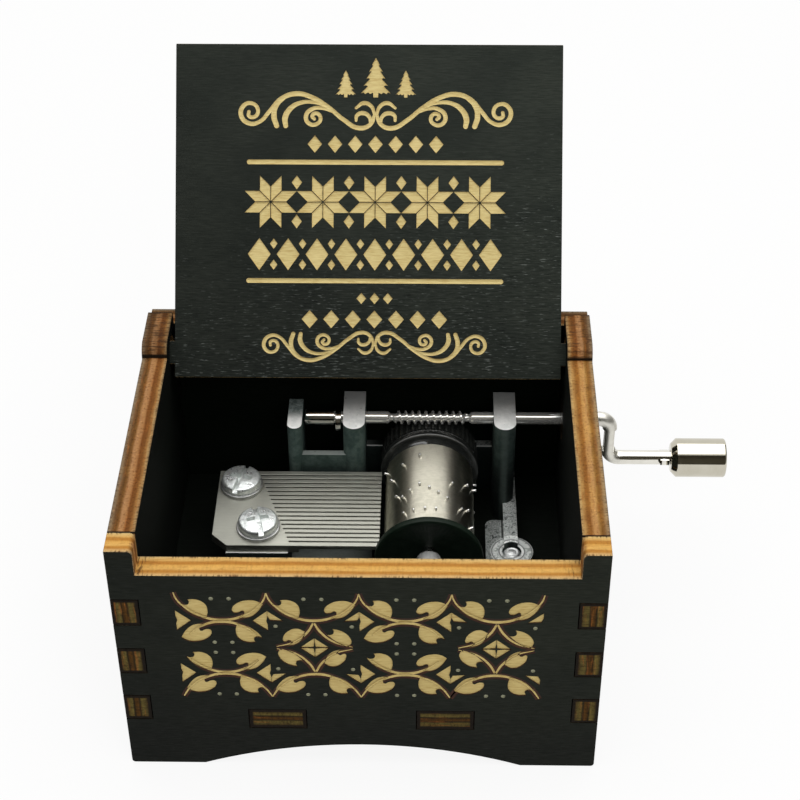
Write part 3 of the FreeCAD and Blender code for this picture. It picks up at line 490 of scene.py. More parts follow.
def side_scorch(x, y, z, faces):
    """Finger ends are charred, most at their rims; so are the ears, across their edge,
    and the joints with the front and back walls."""
    low = fall(z, NOTCH_TOP, NOTCH_TOP + 0.1)
    end = times(spread(apart(faces[1]), 0.7, 0.9), low)
    row = sums("MODULO", minus(z, FINGER_FOOT), FINGER_PITCH)
    rim = border(within(row, FINGER_HALF, FINGER_HALF), within(x, HALF_WIDTH - PLY / 2, PLY / 2))
    ear = spread(z, WALL_TOP + 0.1, WALL_TOP + 0.3)
    foot = times(ear, spread(z, WALL_TOP + 0.3, WALL_TOP + 0.9, 0.8, 0.24))
    inner = HALF_DEPTH - PLY
    joint = times(spread(apart(y), inner - 0.3, inner - 0.1, 0, 0.7),
                  spread(z, WALL_TOP - 0.3, WALL_TOP - 0.1))
    slots = times(minus(low, end), 0.6)
    left = times_plus(sums("LESS_THAN", x, 0), 0.14, 0.32)
    char = plus(most(foot, joint), slots, left, times(rim, end))
    stripes = most(times(ear, 0.7), times(end, 0.25))
    return char, plus(stripes, 0.12), end


def floor_scorch(x, y, z, faces):
    """Tab ends are charred, most at their rims."""
    thick = within(z, FLOOR_MIDDLE, PLY / 2)
    ahead = times(apart(faces[1]), border(within(x, *FRONT_TAB), thick))
    beside = times(apart(faces[0]), border(within(y, *SIDE_TAB), thick))
    return plus(ahead, beside, 0.62), 0.4, 1


def lid_scorch(x, y, z, faces):
    """Scorched at its ends and its hinged edge."""
    return plus(spread(y, 0, 3, 0.6, 0.1), times(apart(faces[0]), 0.8)), 0.4, 0


def engraved(name, axis, leaning=False):
    """The floor of the engraving is bare wood. The front's is cut with charred walls, and
    the lid's, cut lightly, is paler."""
    material, shader, place, normal = start(name)
    rim, paler = (0.05, 0.02, 0.01), (1, 1, 1)
    if leaning:
        place, normal = lid_flat(place, normal)
        rim, paler = (0.5, 0.36, 0.16), (1.15, 1.21, 1.36)
    wood = use(BARE, Place=place).outputs
    open_wood = spread(apart(split(normal)[axis]), 0.45, 0.85)
    fill(shader, Base_Color=blend(open_wood, rim, vector("MULTIPLY", wood["Color"], paler)),
         Roughness=0.75, Specular_IOR_Level=0.25)
    bump(shader, wood["Height"], 0.5, 0.05)
    return material


def charred():
    """The brown halo that the laser leaves round a cut."""
    material, shader, place, normal = start("charred_halo")
    soot = speckle(place, (0.4, 1, 1), 1.6, 3)
    tone = blend(spread(soot, 0.35, 0.7), (0.03, 0.012, 0.008), (0.05, 0.022, 0.013))
    fill(shader, Base_Color=tone, Roughness=spread(soot, 0.3, 0.7, 0.7, 0.85),
         Specular_IOR_Level=0.2)
    bump(shader, soot, 0.4, 0.03)
    return material


def scorched_dot():
    material, shader, place, normal = start("scorched_dot")
    wood = use(BARE, Place=place).outputs
    fill(shader, Base_Color=blend(0.8, wood["Color"], (0.26, 0.29, 0.23)), Roughness=0.7)
    bump(shader, wood["Height"], 0.5, 0.04)
    return material


def metal(name, tint, worn_and_shaded, rough, stretch, closeness, marks, size,
          nicks=0, deep=0.02, bright=1):
    """Plated or grinder-finished metal: tint and worn are its two tones, rough its least and
    most roughness, stretch and closeness its tool marks, marks and deep how they show, size
    that of its smudges, and bright is less than 1 where the plating is cloudy."""
    material, shader, place, normal = start(name)
    lines = use(LINES, Place=place, Stretch=stretch, Closeness=closeness).outputs
    touch = use(HANDLING, Place=place, Size=size).outputs
    share = times_plus(lines["Mask"], 0.45, times(touch["Smudge"], 0.55))
    tone = blend(share, tint, worn_and_shaded)
    if nicks:
        tone = blend(times(touch["Nicks"], nicks), tone, tuple(c * 0.4 for c in worn_and_shaded))
    fill(shader, Base_Color=tone, Roughness=spread(share, 0, 1, *rough), Metallic=bright)
    bump(shader, lines["Height"], marks, deep)
    return material, shader, place


def fed(shader, name):
    """What is linked to a shader's socket."""
    return shader.inputs[name].links[0].from_socket


def comb_steel():
    """Ground grey on the plate and brighter along the teeth."""
    material, shader, place = metal("comb_steel", (0.56, 0.56, 0.49), (0.47, 0.47, 0.41),
                                    (0.42, 0.52), (0.06, 1, 1), 5, 0.12, 0.3)
    plate = spread(split(place)[0], -16, -11, 0.8, 1)
    fill(shader, Base_Color=vector("SCALE", fed(shader, "Base Color"), plate))
    return material


def crank_nickel():
    """The crank's wire: bright on the pin, cloudy along the shaft and dull where it was
    bent."""
    material, shader, place = metal("crank_nickel", (0.8, 0.78, 0.71), (0.7, 0.68, 0.61),
                                    (0.06, 0.14), (0.2, 1, 1), 2, 0.03, 0.5)
    x = split(place)[0]
    bent = times(spread(x, 31.5, 33), fall(x, 36.5, 38.5))
    rod = fall(x, 29.8, 31)
    worked = times_plus(bent, 0.32, times(rod, 0.04))
    fill(shader, Roughness=plus(worked, fed(shader, "Roughness")),
         Metallic=times_plus(rod, -0.2, 1),
         Base_Color=blend(times(rod, 0.85), fed(shader, "Base Color"), (1, 0.99, 0.95)))
    return material


def sleeve_nickel():
    """Turned on a lathe, so its shine stretches along the cylinder."""
    material, shader, place = metal("cylinder_nickel", (0.66, 0.63, 0.53), (0.5, 0.48, 0.39),
                                    (0.36, 0.46), (0.1, 1, 0.1), 5, 0.08, 1, 0.3)
    fill(shader, Anisotropic=0.8, Anisotropic_Rotation=0.25,
         Tangent=put("Tangent", {"direction_type": "RADIAL", "axis": "Y"}, tree=shader.id_data))
    return material


def cast_zinc():
    """Die-cast metal, mottled round the lug, with light and shade painted into its colour:
    painted shade in the depths and low on the sides, painted highlights and shade in bright
    and dark circles about the lug's screw, painted highlights on the eye, along edges and
    in a streak down the right post, and painted light on the tops of the posts, with the
    lid's painted shadow towards their rear and painted shade on the left post's top."""
    material, shader, place, normal = start("frame_zinc")
    smudge = use(HANDLING, Place=place, Size=0.9).outputs["Smudge"]
    peel = noise(place, 2.2, 4, 0.55)
    pits = noise(place, 1.7, 1, 0.4)
    blot = noise(place, 1.1, 3, 0.55, 1.5)
    x, y, z = split(place)
    faces = split(normal)
    forward = times(faces[1], -1)
    up = spread(faces[2], 0.1, 0.75)
    # Painted shade on the sides: near black below z 18, and darker towards the right.
    lit = times(spread(z, 18, 25, 0.12, 1), spread(x, 10, 18, 1, 0.55))
    side = blend(smudge, (0.055, 0.09, 0.08), (0.1, 0.145, 0.13))
    side = blend(lit, (0.008, 0.011, 0.01), side)
    # Painted highlight: a soft upright streak down the right post, about x 20.
    shine = spread(apart(x, 20), 0.1, 0.8, 0.6, 0)
    side = blend(shine, side, (0.12, 0.155, 0.14))
    # Painted shade in the depths: low up-facing faces near black from x 2 rightwards, paler to the
    # left.
    depth_shade = blend(spread(x, -4, 2, 0, 1), (0.28, 0.31, 0.29), (0.012, 0.018, 0.015))
    mottle = ramp(blot, (
        (0.32, (0.04, 0.045, 0.042)), (0.42, (0.45, 0.48, 0.46)), (0.5, (0.85, 0.88, 0.85)),
        (0.56, (0.2, 0.22, 0.21)), (0.62, (0.65, 0.68, 0.65)), (0.7, (1, 1, 0.97))))
    beside = spread(x, 12, 16)
    # Painted highlights: thin bright lines along two edges.
    edge_glints = times(fall(y, 19.6, 19.8), spread(y, 19.2, 19.35), spread(z, 17, 18))
    edge_glints = most(edge_glints, times(fall(x, -10.9, -10.5), spread(z, 18, 18.8)))
    # Painted highlights and shade: bright and dark circles about the lug's screw.
    reach = vector("LENGTH", vector("SUBTRACT", put("CombineXYZ", X=x, Y=y), LUG))
    ring_light_and_shade = ramp(sums("DIVIDE", reach, LUG_RADIUS), (
        (0.44, (0.9, 0.92, 0.9)), (0.54, (1, 1, 0.98)), (0.575, (0.06, 0.065, 0.06)),
        (0.63, (0.7, 0.73, 0.71)), (0.8, (0.98, 1, 0.97)), (0.88, (0.8, 0.82, 0.8)),
        (0.91, (0.06, 0.065, 0.06)), (0.97, (0.98, 1, 0.98))))
    ring_light_and_shade = blend(spread(blot, 0.5, 0.4, 0, 0.6), ring_light_and_shade, (0.25, 0.28, 0.26))
    about = times(spread(reach, LUG_RADIUS - 0.15, LUG_RADIUS, 0.85, 0), fall(z, 14.5, 15.5))
    # Painted highlight: the eye at the front is made bright.
    eye = times(fall(y, -5.5, -4.5), spread(z, 16, 17))
    # Painted light on the tops of the posts, darkened towards the rear as the lid's painted
    # shadow.
    painted_top_light = blend(smudge, (0.98, 0.98, 0.95), (0.84, 0.85, 0.82))
    painted_top_light = blend(spread(y, 12.5, 21, 0, 0.9), painted_top_light, (0.26, 0.265, 0.26))
    # Painted shade on the rear of the left post's rounded top, over mottled zinc.
    worn_and_shaded = times(fall(x, -8, -7), spread(y, 14.5, 17, 0, 0.9))
    dull = blend(spread(blot, 0.4, 0.6), (0.05, 0.08, 0.075), (0.2, 0.24, 0.23))
    painted_top_light = blend(worn_and_shaded, painted_top_light, dull)
    low = over(blend(beside, depth_shade, mottle),
               (times(spread(x, 19.3, 19.6, 0.45, 0.24), beside), (0.03, 0.037, 0.034)),
               (spread(apart(x, 19.8), 0.06, 0.2, 0.9, 0), (0.005, 0.006, 0.005)),
               (edge_glints, (0.85, 0.87, 0.84)), (about, ring_light_and_shade), (eye, (0.8, 0.8, 0.78)))
    top = spread(z, 25, 26)
    # Painted highlight: near white on the front-facing edges of the tops.
    edge = times(spread(forward, 0.2, 0.35), spread(faces[2], 0.25, 0.4))
    # The light tops against the dark sides are painted light and shade.
    tone = over(blend(up, side, blend(top, low, painted_top_light)), (times(edge, top), (1, 1, 0.97)),
                (times(eye, 0.8), (0.7, 0.7, 0.68)),
                (spread(pits, 0.72, 0.8, 0, 0.7), (0.05, 0.055, 0.05)))
    fill(shader, Base_Color=tone, Roughness=spread(peel, 0.3, 0.7, 0.55, 0.72),
         Metallic=spread(times(top, up), 0, 1, 0.6, 0.2))
    height = minus(peel, times(spread(pits, 0.66, 0.76), 0.8))
    height = times_plus(times(blot, beside), 3, height)
    bump(shader, height, 0.35, 0.06)
    return material


def moulded_black(name, tone, handled, rough, shine, glint=0):
    """Black plastic with faint handling marks; glint paints highlights on the edges of the
    wheel's flange, only along its top and brighter on its rear edge."""
    material, shader, place, normal = start(name)
    touch = use(HANDLING, Place=place, Size=0.7).outputs
    peel = noise(place, 3, 3, 0.5)
    tone = blend(touch["Smudge"], tone, handled)
    if glint:
        x, y, z = split(place)
        spoke = vector("SUBTRACT", put("CombineXYZ", X=x, Y=0, Z=z), tuple(CYLINDER))
        outer = spread(vector("LENGTH", spoke), FLANGE_REACH + 0.05, FLANGE_REACH + 0.2)
        near = apart(apart(y, FLANGE_MIDDLE), FLANGE_HALF)
        # Painted highlights on the flange's two edges, only high on the wheel.
        edge = times(outer, spread(near, 0.03, 0.1, glint, 0), spread(z, 23, 25.5))
        rear = spread(y, FLANGE_MIDDLE - 0.25, FLANGE_MIDDLE + 0.25)
        glint_tone = blend(rear, (0.13, 0.13, 0.125), (0.7, 0.7, 0.68))
        tone = blend(edge, tone, glint_tone)
    fill(shader, Base_Color=tone, Roughness=spread(peel, 0.3, 0.7, *rough),
         Specular_IOR_Level=shine)
    bump(shader, peel, 0.03, 0.03)
    return material


PANEL_PLY = ply("panel_ply", 1, HALF_DEPTH - PLY / 2, 0.15, wall_scorch, 1, 0.5)
SIDE_PLY = ply("side_ply", 0, HALF_WIDTH - PLY / 2, 0.4, side_scorch, 1, 0.2)
FLOOR_PLY = ply("floor_ply", 2, FLOOR_MIDDLE, 0.2, floor_scorch, 1, 1)
LID_PLY = ply("lid_ply", 2, 0, 1, lid_scorch, leaning=True)
ENGRAVED_FRONT = engraved("engraved_front", 1)
ENGRAVED_LID = engraved("engraved_lid", 2, leaning=True)
CHARRED = charred()
SCORCHED_DOT = scorched_dot()
ZINC = cast_zinc()
BLACK = moulded_black("wheel_plastic", (0.012, 0.013, 0.012), (0.02, 0.021, 0.019), (0.16, 0.24),
                      0.8, 1)
CAP_BLACK = moulded_black("cap_plastic", (0.005, 0.01, 0.006), (0.008, 0.014, 0.009), (0.45, 0.55),
                          0.15)
COMB = comb_steel()
LEAD = metal("weight_lead", (0.07, 0.068, 0.06), (0.045, 0.044, 0.04), (0.5, 0.65), (1, 1, 1), 3,
             0.3, 0.8)[0]
SCREW = metal("screw_nickel", (0.9, 0.93, 0.91), (0.68, 0.71, 0.69), (0.26, 0.42), (1, 1, 1), 1.5,
              1, 1, 0.9, 0.14, 0.86)[0]
WASHER = metal("washer_steel", (0.5, 0.5, 0.49), (0.34, 0.34, 0.33), (0.28, 0.42), (1, 1, 0.2),
               5, 0.15, 1)[0]
MOUNTING = metal("mounting_zinc", (0.9, 0.91, 0.9), (0.75, 0.76, 0.75), (0.5, 0.65), (1, 1, 1),
                 2, 0.4, 1, deep=0.06)[0]
NICKEL = crank_nickel()
COLLAR = metal("collar_nickel", (0.86, 0.84, 0.8), (0.72, 0.7, 0.66), (0.1, 0.2), (1, 0.2, 0.2),
               4, 0.06, 0.5)[0]
KNOB_NICKEL = metal("knob_nickel", (0.58, 0.55, 0.46), (0.53, 0.5, 0.41), (0.03, 0.07),
                    (1, 0.3, 0.3), 1, 0.02, 0.3)[0]
SLEEVE = sleeve_nickel()
PIN = metal("pin_steel", (1, 0.99, 0.96), (0.85, 0.84, 0.8), (0.26, 0.4), (1, 1, 1), 6, 0.05,
            1)[0]
ARBOR = metal("arbor_steel", (0.6, 0.6, 0.58), (0.42, 0.42, 0.4), (0.22, 0.36), (1, 1, 1), 5,
              0.1, 1)[0]


# Pieces

# Edges turning by more degrees than this are eased.
SHARP = 40


def meshed(name, bm):
    """A mesh from a bmesh, which is freed."""
    mesh = bpy.data.meshes.new(name)
    bm.to_mesh(mesh)
    bm.free()
    return mesh


def stand_for(bm, node, material, smooth=None):
    """Makes the object that takes a CAD node's place; smooth is the angle in degrees from
    which its edges stay sharp."""
    mesh = meshed(node + "_piece", bm)
    mesh.materials.append(material)
    if smooth is not None:
        mesh.shade_smooth()
        mesh.set_sharp_from_angle(angle=math.radians(smooth))
    piece = linked(node + "_piece", mesh)
    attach(piece, nodes[node]["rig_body"])
    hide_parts(node)
    return piece


def merged(node):
    bm = bmesh.new()
    bm.from_mesh(nodes[node].data)
    bmesh.ops.remove_doubles(bm, verts=bm.verts, dist=0.002 * MM)
    bmesh.ops.dissolve_limit(bm, angle_limit=math.radians(0.3), verts=bm.verts, edges=bm.edges)
    for face in bm.faces:
        face.smooth = False
    return bm


def ease(bm, width, segments=2, chosen=lambda edge: True):
    """Bevels the sharp edges."""
    sharp = [edge for edge in bm.edges if len(edge.link_faces) == 2
             and edge.calc_face_angle(0) > math.radians(SHARP) and chosen(edge)]
    bmesh.ops.bevel(bm, geom=sharp, offset=width * MM, affect="EDGES", segments=segments,
                    profile=0.5, material=-1, clamp_overlap=True)
    return bm


def eased(node, material, width, segments=2, smooth=None):
    return stand_for(ease(merged(node), width, segments), node, material, smooth)


# Engraving

CUT_DEPTH = 0.16
HALO_DEPTH = 0.06
# What stands further than this over a carved face isn't part of it.
FLUSH = 0.005


def bezier(name, dimensions, points):
    """A curve and its spline; a point with a third entry is a sharp corner."""
    data = bpy.data.curves.new(name, "CURVE")
    data.dimensions = dimensions
    spline = data.splines.new("BEZIER")
    spline.bezier_points.add(len(points) - 1)
    for knot, point in zip(spline.bezier_points, points):
        knot.co = (point[0], point[1], 0)
        kind = "VECTOR" if len(point) == 3 else "AUTO"
        knot.handle_left_type = knot.handle_right_type = kind
    return data, spline


def flat_shape(points, *where, **how):
    """A closed outline as a prism, placed."""
    data, spline = bezier("outline", "2D", points)
    data.fill_mode = "BOTH"
    data.extrude = CUT_DEPTH
    data.resolution_u = 5
    spline.use_cyclic_u = True
    return placed(taken(data), *where, **how)


def groove(points, widths, depth=CUT_DEPTH, rounded=False):
    """A run of rounded channel along smooth points, with its half width at each; its ends
    are cut square or rounded."""
    data, spline = bezier("vine", "3D", points)
    data.bevel_depth = 1
    data.bevel_resolution = 2
    data.resolution_u = 6
    data.use_fill_caps = True
    for knot, width in zip(spline.bezier_points, widths):
        knot.radius = width
    bm = taken(data)
    if rounded:
        for point, width in ((points[0], widths[0]), (points[-1], widths[-1])):
            bmesh.ops.create_uvsphere(bm, u_segments=14, v_segments=8, radius=width * 1.06,
                                      matrix=Matrix.Translation((*point, 0)))
    bmesh.ops.scale(bm, vec=(1, 1, depth / max(widths)), verts=bm.verts)
    return bm


def worked_out(piece):
    """The mesh of an object with its modifiers or its curve worked out."""
    final = piece.evaluated_get(bpy.context.evaluated_depsgraph_get())
    return bpy.data.meshes.new_from_object(final)


def taken(data):
    """The mesh of a curve, merged, with the curve removed."""
    holder = linked("holder", data)
    mesh = worked_out(holder)
    bm = bmesh.new()
    bm.from_mesh(mesh)
    bmesh.ops.remove_doubles(bm, verts=bm.verts, dist=1e-4)
    bmesh.ops.recalc_face_normals(bm, faces=bm.faces)
    bpy.data.objects.remove(holder)
    bpy.data.curves.remove(data)
    bpy.data.meshes.remove(mesh)
    return bm


def placed(bm, at=(0, 0), turn=0, flip=(1, 1), size=1):
    """Flips, sizes, turns in degrees and moves a flat shape."""
    bmesh.ops.scale(bm, vec=(flip[0] * size, flip[1] * size, 1), verts=bm.verts)
    if flip[0] * flip[1] < 0:
        bmesh.ops.reverse_faces(bm, faces=bm.faces)
    bmesh.ops.rotate(bm, cent=(0, 0, 0), matrix=Matrix.Rotation(math.radians(turn), 3, "Z"),
                     verts=bm.verts)
    bmesh.ops.translate(bm, vec=(*at, 0), verts=bm.verts)
    return bm


def gather(shapes):
    """One bmesh from many, each freed."""
    whole = bmesh.new()
    for shape in shapes:
        mesh = meshed("shape", shape)
        whole.from_mesh(mesh)
        bpy.data.meshes.remove(mesh)
    return whole


def carve(piece, shapes, place, index, material):
    """Cuts the shapes into a piece; what is laid bare gets the material at that index."""
    tool = gather(shapes)
    bmesh.ops.transform(tool, matrix=place @ Matrix.Scale(MM, 4), verts=tool.verts)
    for face in tool.faces:
        face.material_index = index
    mesh = meshed("tool", tool)
    while len(mesh.materials) <= index:
        mesh.materials.append(material)
    if len(piece.data.materials) <= index:
        piece.data.materials.append(material)
    cutter = linked("tool", mesh)
    cut = piece.modifiers.new("cut", "BOOLEAN")
    cut.operation = "DIFFERENCE"
    cut.solver = "EXACT"
    cut.use_self = True
    cut.object = cutter
    bpy.context.view_layer.update()
    done = worked_out(piece)
    piece.modifiers.remove(cut)
    bpy.data.objects.remove(cutter)
    # Where cuts cross, a flap of the tool can be left standing over the face.
    into_drawing = place.inverted()
    shell = bmesh.new()
    shell.from_mesh(done)
    flaps = [face for face in shell.faces
             if max((into_drawing @ vert.co).z for vert in face.verts) > FLUSH * MM]
    bmesh.ops.delete(shell, geom=flaps, context="FACES")
    shell.to_mesh(done)
    shell.free()
    piece.data = done


# The vine lattice on the front. Each span hangs between two points of the band's edge;
# its places run right and up from the left point.
SPAN = 11.9
SPANS = 4
BAND_MIDDLE = (0.05, 23)
BAND_HALF = 9.8
TURN_ABOUT = (SPAN, -9.9)
HALO = 0.32
DOT = 0.3
DOT_STEPS = (-1.15, 1.15)
HOOKED_LEAF = (
    (1.72, -1.05, 1), (2.9, -1.05), (3.95, -1.8), (4.25, -3.1), (4, -4.45, 1), (2.6, -3.95),
    (1.3, -2.8), (0.75, -1.75, 1), (1.4, -2.05), (1.9, -1.75))
LONG_LEAF = (
    (11.45, -1.85, 1), (10.6, -1.25), (9.6, -1.1), (8.2, -1.6), (7.4, -2.7), (7.55, -3.4),
    (8.1, -3.45), (8.8, -3.15), (8.95, -3.6), (8.25, -4.35, 1), (9.4, -4.35), (10.6, -3.4))
SIDE_LEAF = (
    (4.75, -6.75, 1), (3.7, -6.2), (2.4, -6.9), (1.85, -8.1), (2, -8.75), (2.7, -8.5),
    (2.95, -8.9), (2.35, -9.5, 1), (3.5, -9.2), (4.5, -7.9))
SIDE_HOOKED = (
    (8.33, -6.2, 1), (9.6, -6.65), (10.65, -7.9), (10.75, -9), (10.3, -9.6, 1), (8.9, -8.8),
    (7.5, -7.3, 1), (8.15, -7.3), (8.5, -7))
HANGING_VINE = ((0.3, -0.95), (0.95, -2.05), (2.9, -3.85), (5.95, -4.78), (9, -3.85),
                (10.95, -2.05), (11.6, -0.95))
HANGING_WIDTHS = (0.1, 0.14, 0.17, 0.22, 0.27, 0.22, 0.17, 0.14, 0.1)
RISING_VINE = ((1.6, -7.4), (3.2, -5.9), (5.95, -5.05), (8.7, -5.9), (10.4, -7.5))
RISING_WIDTHS = (0.1, 0.22, 0.27, 0.22, 0.1)
LEFT_STRAND = ((5.9, -5.2), (5.1, -6.9), (3.3, -8.75), (0.95, -9.62))
STRAND_WIDTHS = (0.16, 0.2, 0.17, 0.08)


def rosette_quarters():
    """The small diamond in a frame, slit crosswise about its middle."""
    quarter = ((-2, -0.02, 1), (0.02, 1.85, 1), (0.02, 1.25, 1), (-0.14, 0.1, 1), (-1.2, -0.02, 1))
    return [flat_shape(quarter, flip=(side, rise)) for side in (1, -1) for rise in (1, -1)]


def under_point(side, whole):
    """Half of the diamond under a point, on one side of it; whole if nothing crowds it."""
    if whole:
        outline = ((0, -3.05, 1), (2, -4.9, 1), (0, -6.7, 1), (0, -5.5, 1), (0.16, -4.9, 1),
                   (0, -4.2, 1))
    else:
        outline = ((0, -3.05, 1), (2.1, -4.9, 1), (0.3, -4.75, 1), (0, -4.1, 1))
    return flat_shape(outline, flip=(side, 1))


def dot(at):
    bm = bmesh.new()
    bmesh.ops.create_cone(bm, cap_ends=True, segments=10, radius1=DOT, radius2=DOT,
                          depth=2 * CUT_DEPTH)
    return placed(bm, at)


def halo(points, widths, at, flip=(1, 1)):
    """The shallow scorched channel round a vine."""
    return placed(groove(points, [width + HALO for width in widths], HALO_DEPTH), at, flip=flip)


def half_span(framed, tip):
    """Upper half of one span about its own middle: bare shapes, halos and dots. The
    points rise above the band's edge by tip."""
    at = (-SPAN / 2, BAND_HALF)
    vine = ((0, tip), *HANGING_VINE, (SPAN, tip))
    halos = [halo(vine, HANGING_WIDTHS, at)]
    shapes = [flat_shape(HOOKED_LEAF, at), flat_shape(LONG_LEAF, at),
              placed(groove(vine, HANGING_WIDTHS), at)]
    dots = [dot((step, at[1] - 0.85)) for step in DOT_STEPS]
    if framed:
        for side in (1, -1):
            middle = (side * at[0], at[1])
            shapes.append(placed(groove(LEFT_STRAND, STRAND_WIDTHS), middle, flip=(side, 1)))
            halos.append(halo(LEFT_STRAND, STRAND_WIDTHS, middle, (side, 1)))
            dots.append(dot((side * (SPAN / 2 - 1), at[1] - 5.8)))
        shapes += [flat_shape(SIDE_LEAF, at), flat_shape(SIDE_HOOKED, at)]
    else:
        far = (at[0] + TURN_ABOUT[0], at[1] + TURN_ABOUT[1])
        shapes += [flat_shape(HOOKED_LEAF, far, 180),
                   flat_shape(LONG_LEAF, far, 180),
                   placed(groove(RISING_VINE, RISING_WIDTHS), at)]
        halos.append(halo(RISING_VINE, RISING_WIDTHS, at))
        dots += [dot((step, at[1] - 8.84)) for step in DOT_STEPS]
    for side in (1, -1):
        shapes.append(placed(under_point(side, not framed), (side * at[0], at[1])))
    return shapes, halos, dots


def front_engraving():
    """Each span's lower half is its upper half turned half round."""
    whole = ([], [], [])
    for number in range(SPANS):
        framed = number % 2 == 1
        middle = ((number + 0.5 - SPANS / 2) * SPAN, 0)
        for turn, tip in ((0, 0.2), (180, -0.35)):
            for kept, made in zip(whole, half_span(framed, tip)):
                kept += [placed(placed(shape, turn=turn), middle) for shape in made]
        if framed:
            whole[0].extend(placed(quarter, middle) for quarter in rosette_quarters())
    return whole


# The lid's ornament: scrolls, firs, two rules and bands of stars between them
ORNAMENT_X = 0.95
STAR_PITCH = 7.5
DIAMOND_PITCH = 4.15
SCROLL = (((0.1, -1.9), (0.7, -3.5), (2.3, -4.1), (4.6, -2.9), (6.8, -1.1), (9.2, 0.3),
           (11.4, 0.8), (13.5, 0.1), (15.2, -1.7), (16.6, -3.2), (18.1, -3.5), (19.3, -2.4),
           (19, -1), (17.8, -0.6), (16.9, -1.5), (17.3, -2.5), (18.2, -2.4), (18.2, -1.8)),
          ((6.9, -1.1), (8.8, -0.45), (10.8, -0.5), (12.3, -1.4), (13, -2.7), (12.9, -3.8)),
          ((13, 0.2), (14.2, -0.9), (14.6, -2.4), (14.2, -3.8)),
          ((6.3, -1.75), (7.5, -1.3), (9, -1.35), (10, -2.4), (9.5, -3.5), (8.4, -3.5),
           (7.9, -2.7), (8.5, -2), (9.1, -2.4), (8.8, -2.8)),
          ((0.15, -2.2), (0.6, -1), (1.7, -0.5), (2.8, -1.2)),
          ((0.75, -3.3), (0.9, -2.5), (1.8, -1.95), (2.7, -2.3), (2.8, -3)))
SCROLL_WIDTHS = ((0.2, 0.3, 0.34, 0.32, 0.3, 0.34, 0.36, 0.34, 0.3, 0.28, 0.32, 0.34, 0.32, 0.28,
                  0.28, 0.28, 0.28, 0.24),
                 (0.16, 0.24, 0.3, 0.38, 0.42, 0.34), (0.16, 0.3, 0.4, 0.36),
                 (0.16, 0.24, 0.3, 0.32, 0.3, 0.28, 0.28, 0.28, 0.28, 0.24),
                 (0.2, 0.28, 0.3, 0.2), (0.2, 0.28, 0.32, 0.28, 0.2))


def scrolls(at, size, rise):
    """A pair of scrolls, mirrored about its middle; rise of -1 turns it upside down."""
    return [placed(groove(points, widths, rounded=True), at, flip=(side, rise), size=size)
            for side in (1, -1) for points, widths in zip(SCROLL, SCROLL_WIDTHS)]


def fir(at, height):
    """A small fir with ragged tiers and a trunk, its foot on the given point."""
    half = ((0, 1), (0.1, 0.81), (0.07, 0.8), (0.17, 0.65), (0.11, 0.655), (0.24, 0.47),
            (0.18, 0.485), (0.15, 0.46), (0.31, 0.29), (0.25, 0.305), (0.2, 0.28), (0.38, 0.1),
            (0.31, 0.125), (0.27, 0.085), (0.19, 0.125), (0.14, 0.085), (0.07, 0.12), (0.06, 0))
    right = [(x * height, y * height, 1) for x, y in half]
    left = [(-x, y, 1) for x, y, sharp in reversed(right[1:])]
    return flat_shape(right + left, at)


def star(at, size):
    """An eight-petalled star of lozenges, as knitted in the north."""
    gap = 0.12
    eighth = math.tau / 8
    ray, lean = (Vector((math.cos(turn), math.sin(turn))) for turn in (eighth / 2, eighth))
    low = ray * gap
    across = Vector((1, 0)) * (size - gap)
    up = lean * (size - gap)
    corners = [(*spot, 1) for spot in (low, low + across, low + across + up, low + up)]
    return [flat_shape(corners, at, 45 * turn) for turn in range(8)]


def lozenge(at, across, up):
    corners = ((-across, 0, 1), (0, -up, 1), (across, 0, 1), (0, up, 1))
    return flat_shape(corners, at)


def bar(at, half, thick):
    shape = groove(((-half, 0), (0, 0), (half, 0)), (thick, thick, thick), rounded=True)
    return placed(shape, at)


def lozenges(count, pitch, heights, across, up):
    """Evenly spaced lozenges about the ornament's middle, at each height."""
    return [lozenge((ORNAMENT_X + (step - (count - 1) / 2) * pitch, height), across, up)
            for step in range(count) for height in heights]


def lid_engraving():
    middle = ORNAMENT_X
    shapes = scrolls((middle, 36.4), 1, 1) + scrolls((middle, -0.35), 0.82, -1)
    for step, height in ((0, 5.7), (-4.3, 3.9), (4.3, 3.9)):
        shapes.append(fir((middle + step, 36.7), height))
    shapes += [bar((middle, up), 18.1, 0.34) for up in (27.4, 10.4)]
    for step in range(-2, 3):
        shapes += star((middle + step * STAR_PITCH, 21.7), 2.25)
    shapes += lozenges(4, STAR_PITCH, (18.9, 24.5), 0.75, 1)
    shapes += lozenges(9, DIAMOND_PITCH, (14.2,), 1.65, 2.3)
    shapes += lozenges(8, DIAMOND_PITCH, (12.7, 15.7), 0.55, 0.75)
    shapes += lozenges(7, 2.9, (30,), 1.05, 1.25)
    shapes += lozenges(7, 3.1, (4.9,), 1.15, 1.3)
    return shapes + lozenges(3, 1.9, (7.9,), 0.7, 0.8)


FRONT_FACE = Matrix((
    (1, 0, 0, BAND_MIDDLE[0] * MM),
    (0, 0, -1, -HALF_DEPTH * MM),
    (0, 1, 0, BAND_MIDDLE[1] * MM),
    (0, 0, 0, 1)))
LEAN = math.radians(LID_ANGLE)
LID_UP = Vector((0, -math.cos(LEAN), math.sin(LEAN)))
LID_OUT = Vector((0, -math.sin(LEAN), -math.cos(LEAN)))
LID_FACE = Matrix((
    (1, 0, 0, 0),
    (0, LID_UP.y, LID_OUT.y, (HINGE.y + PLY / 2 * LID_OUT.y) * MM),
    (0, LID_UP.z, LID_OUT.z, (HINGE.z + PLY / 2 * LID_OUT.z) * MM),
    (0, 0, 0, 1)))


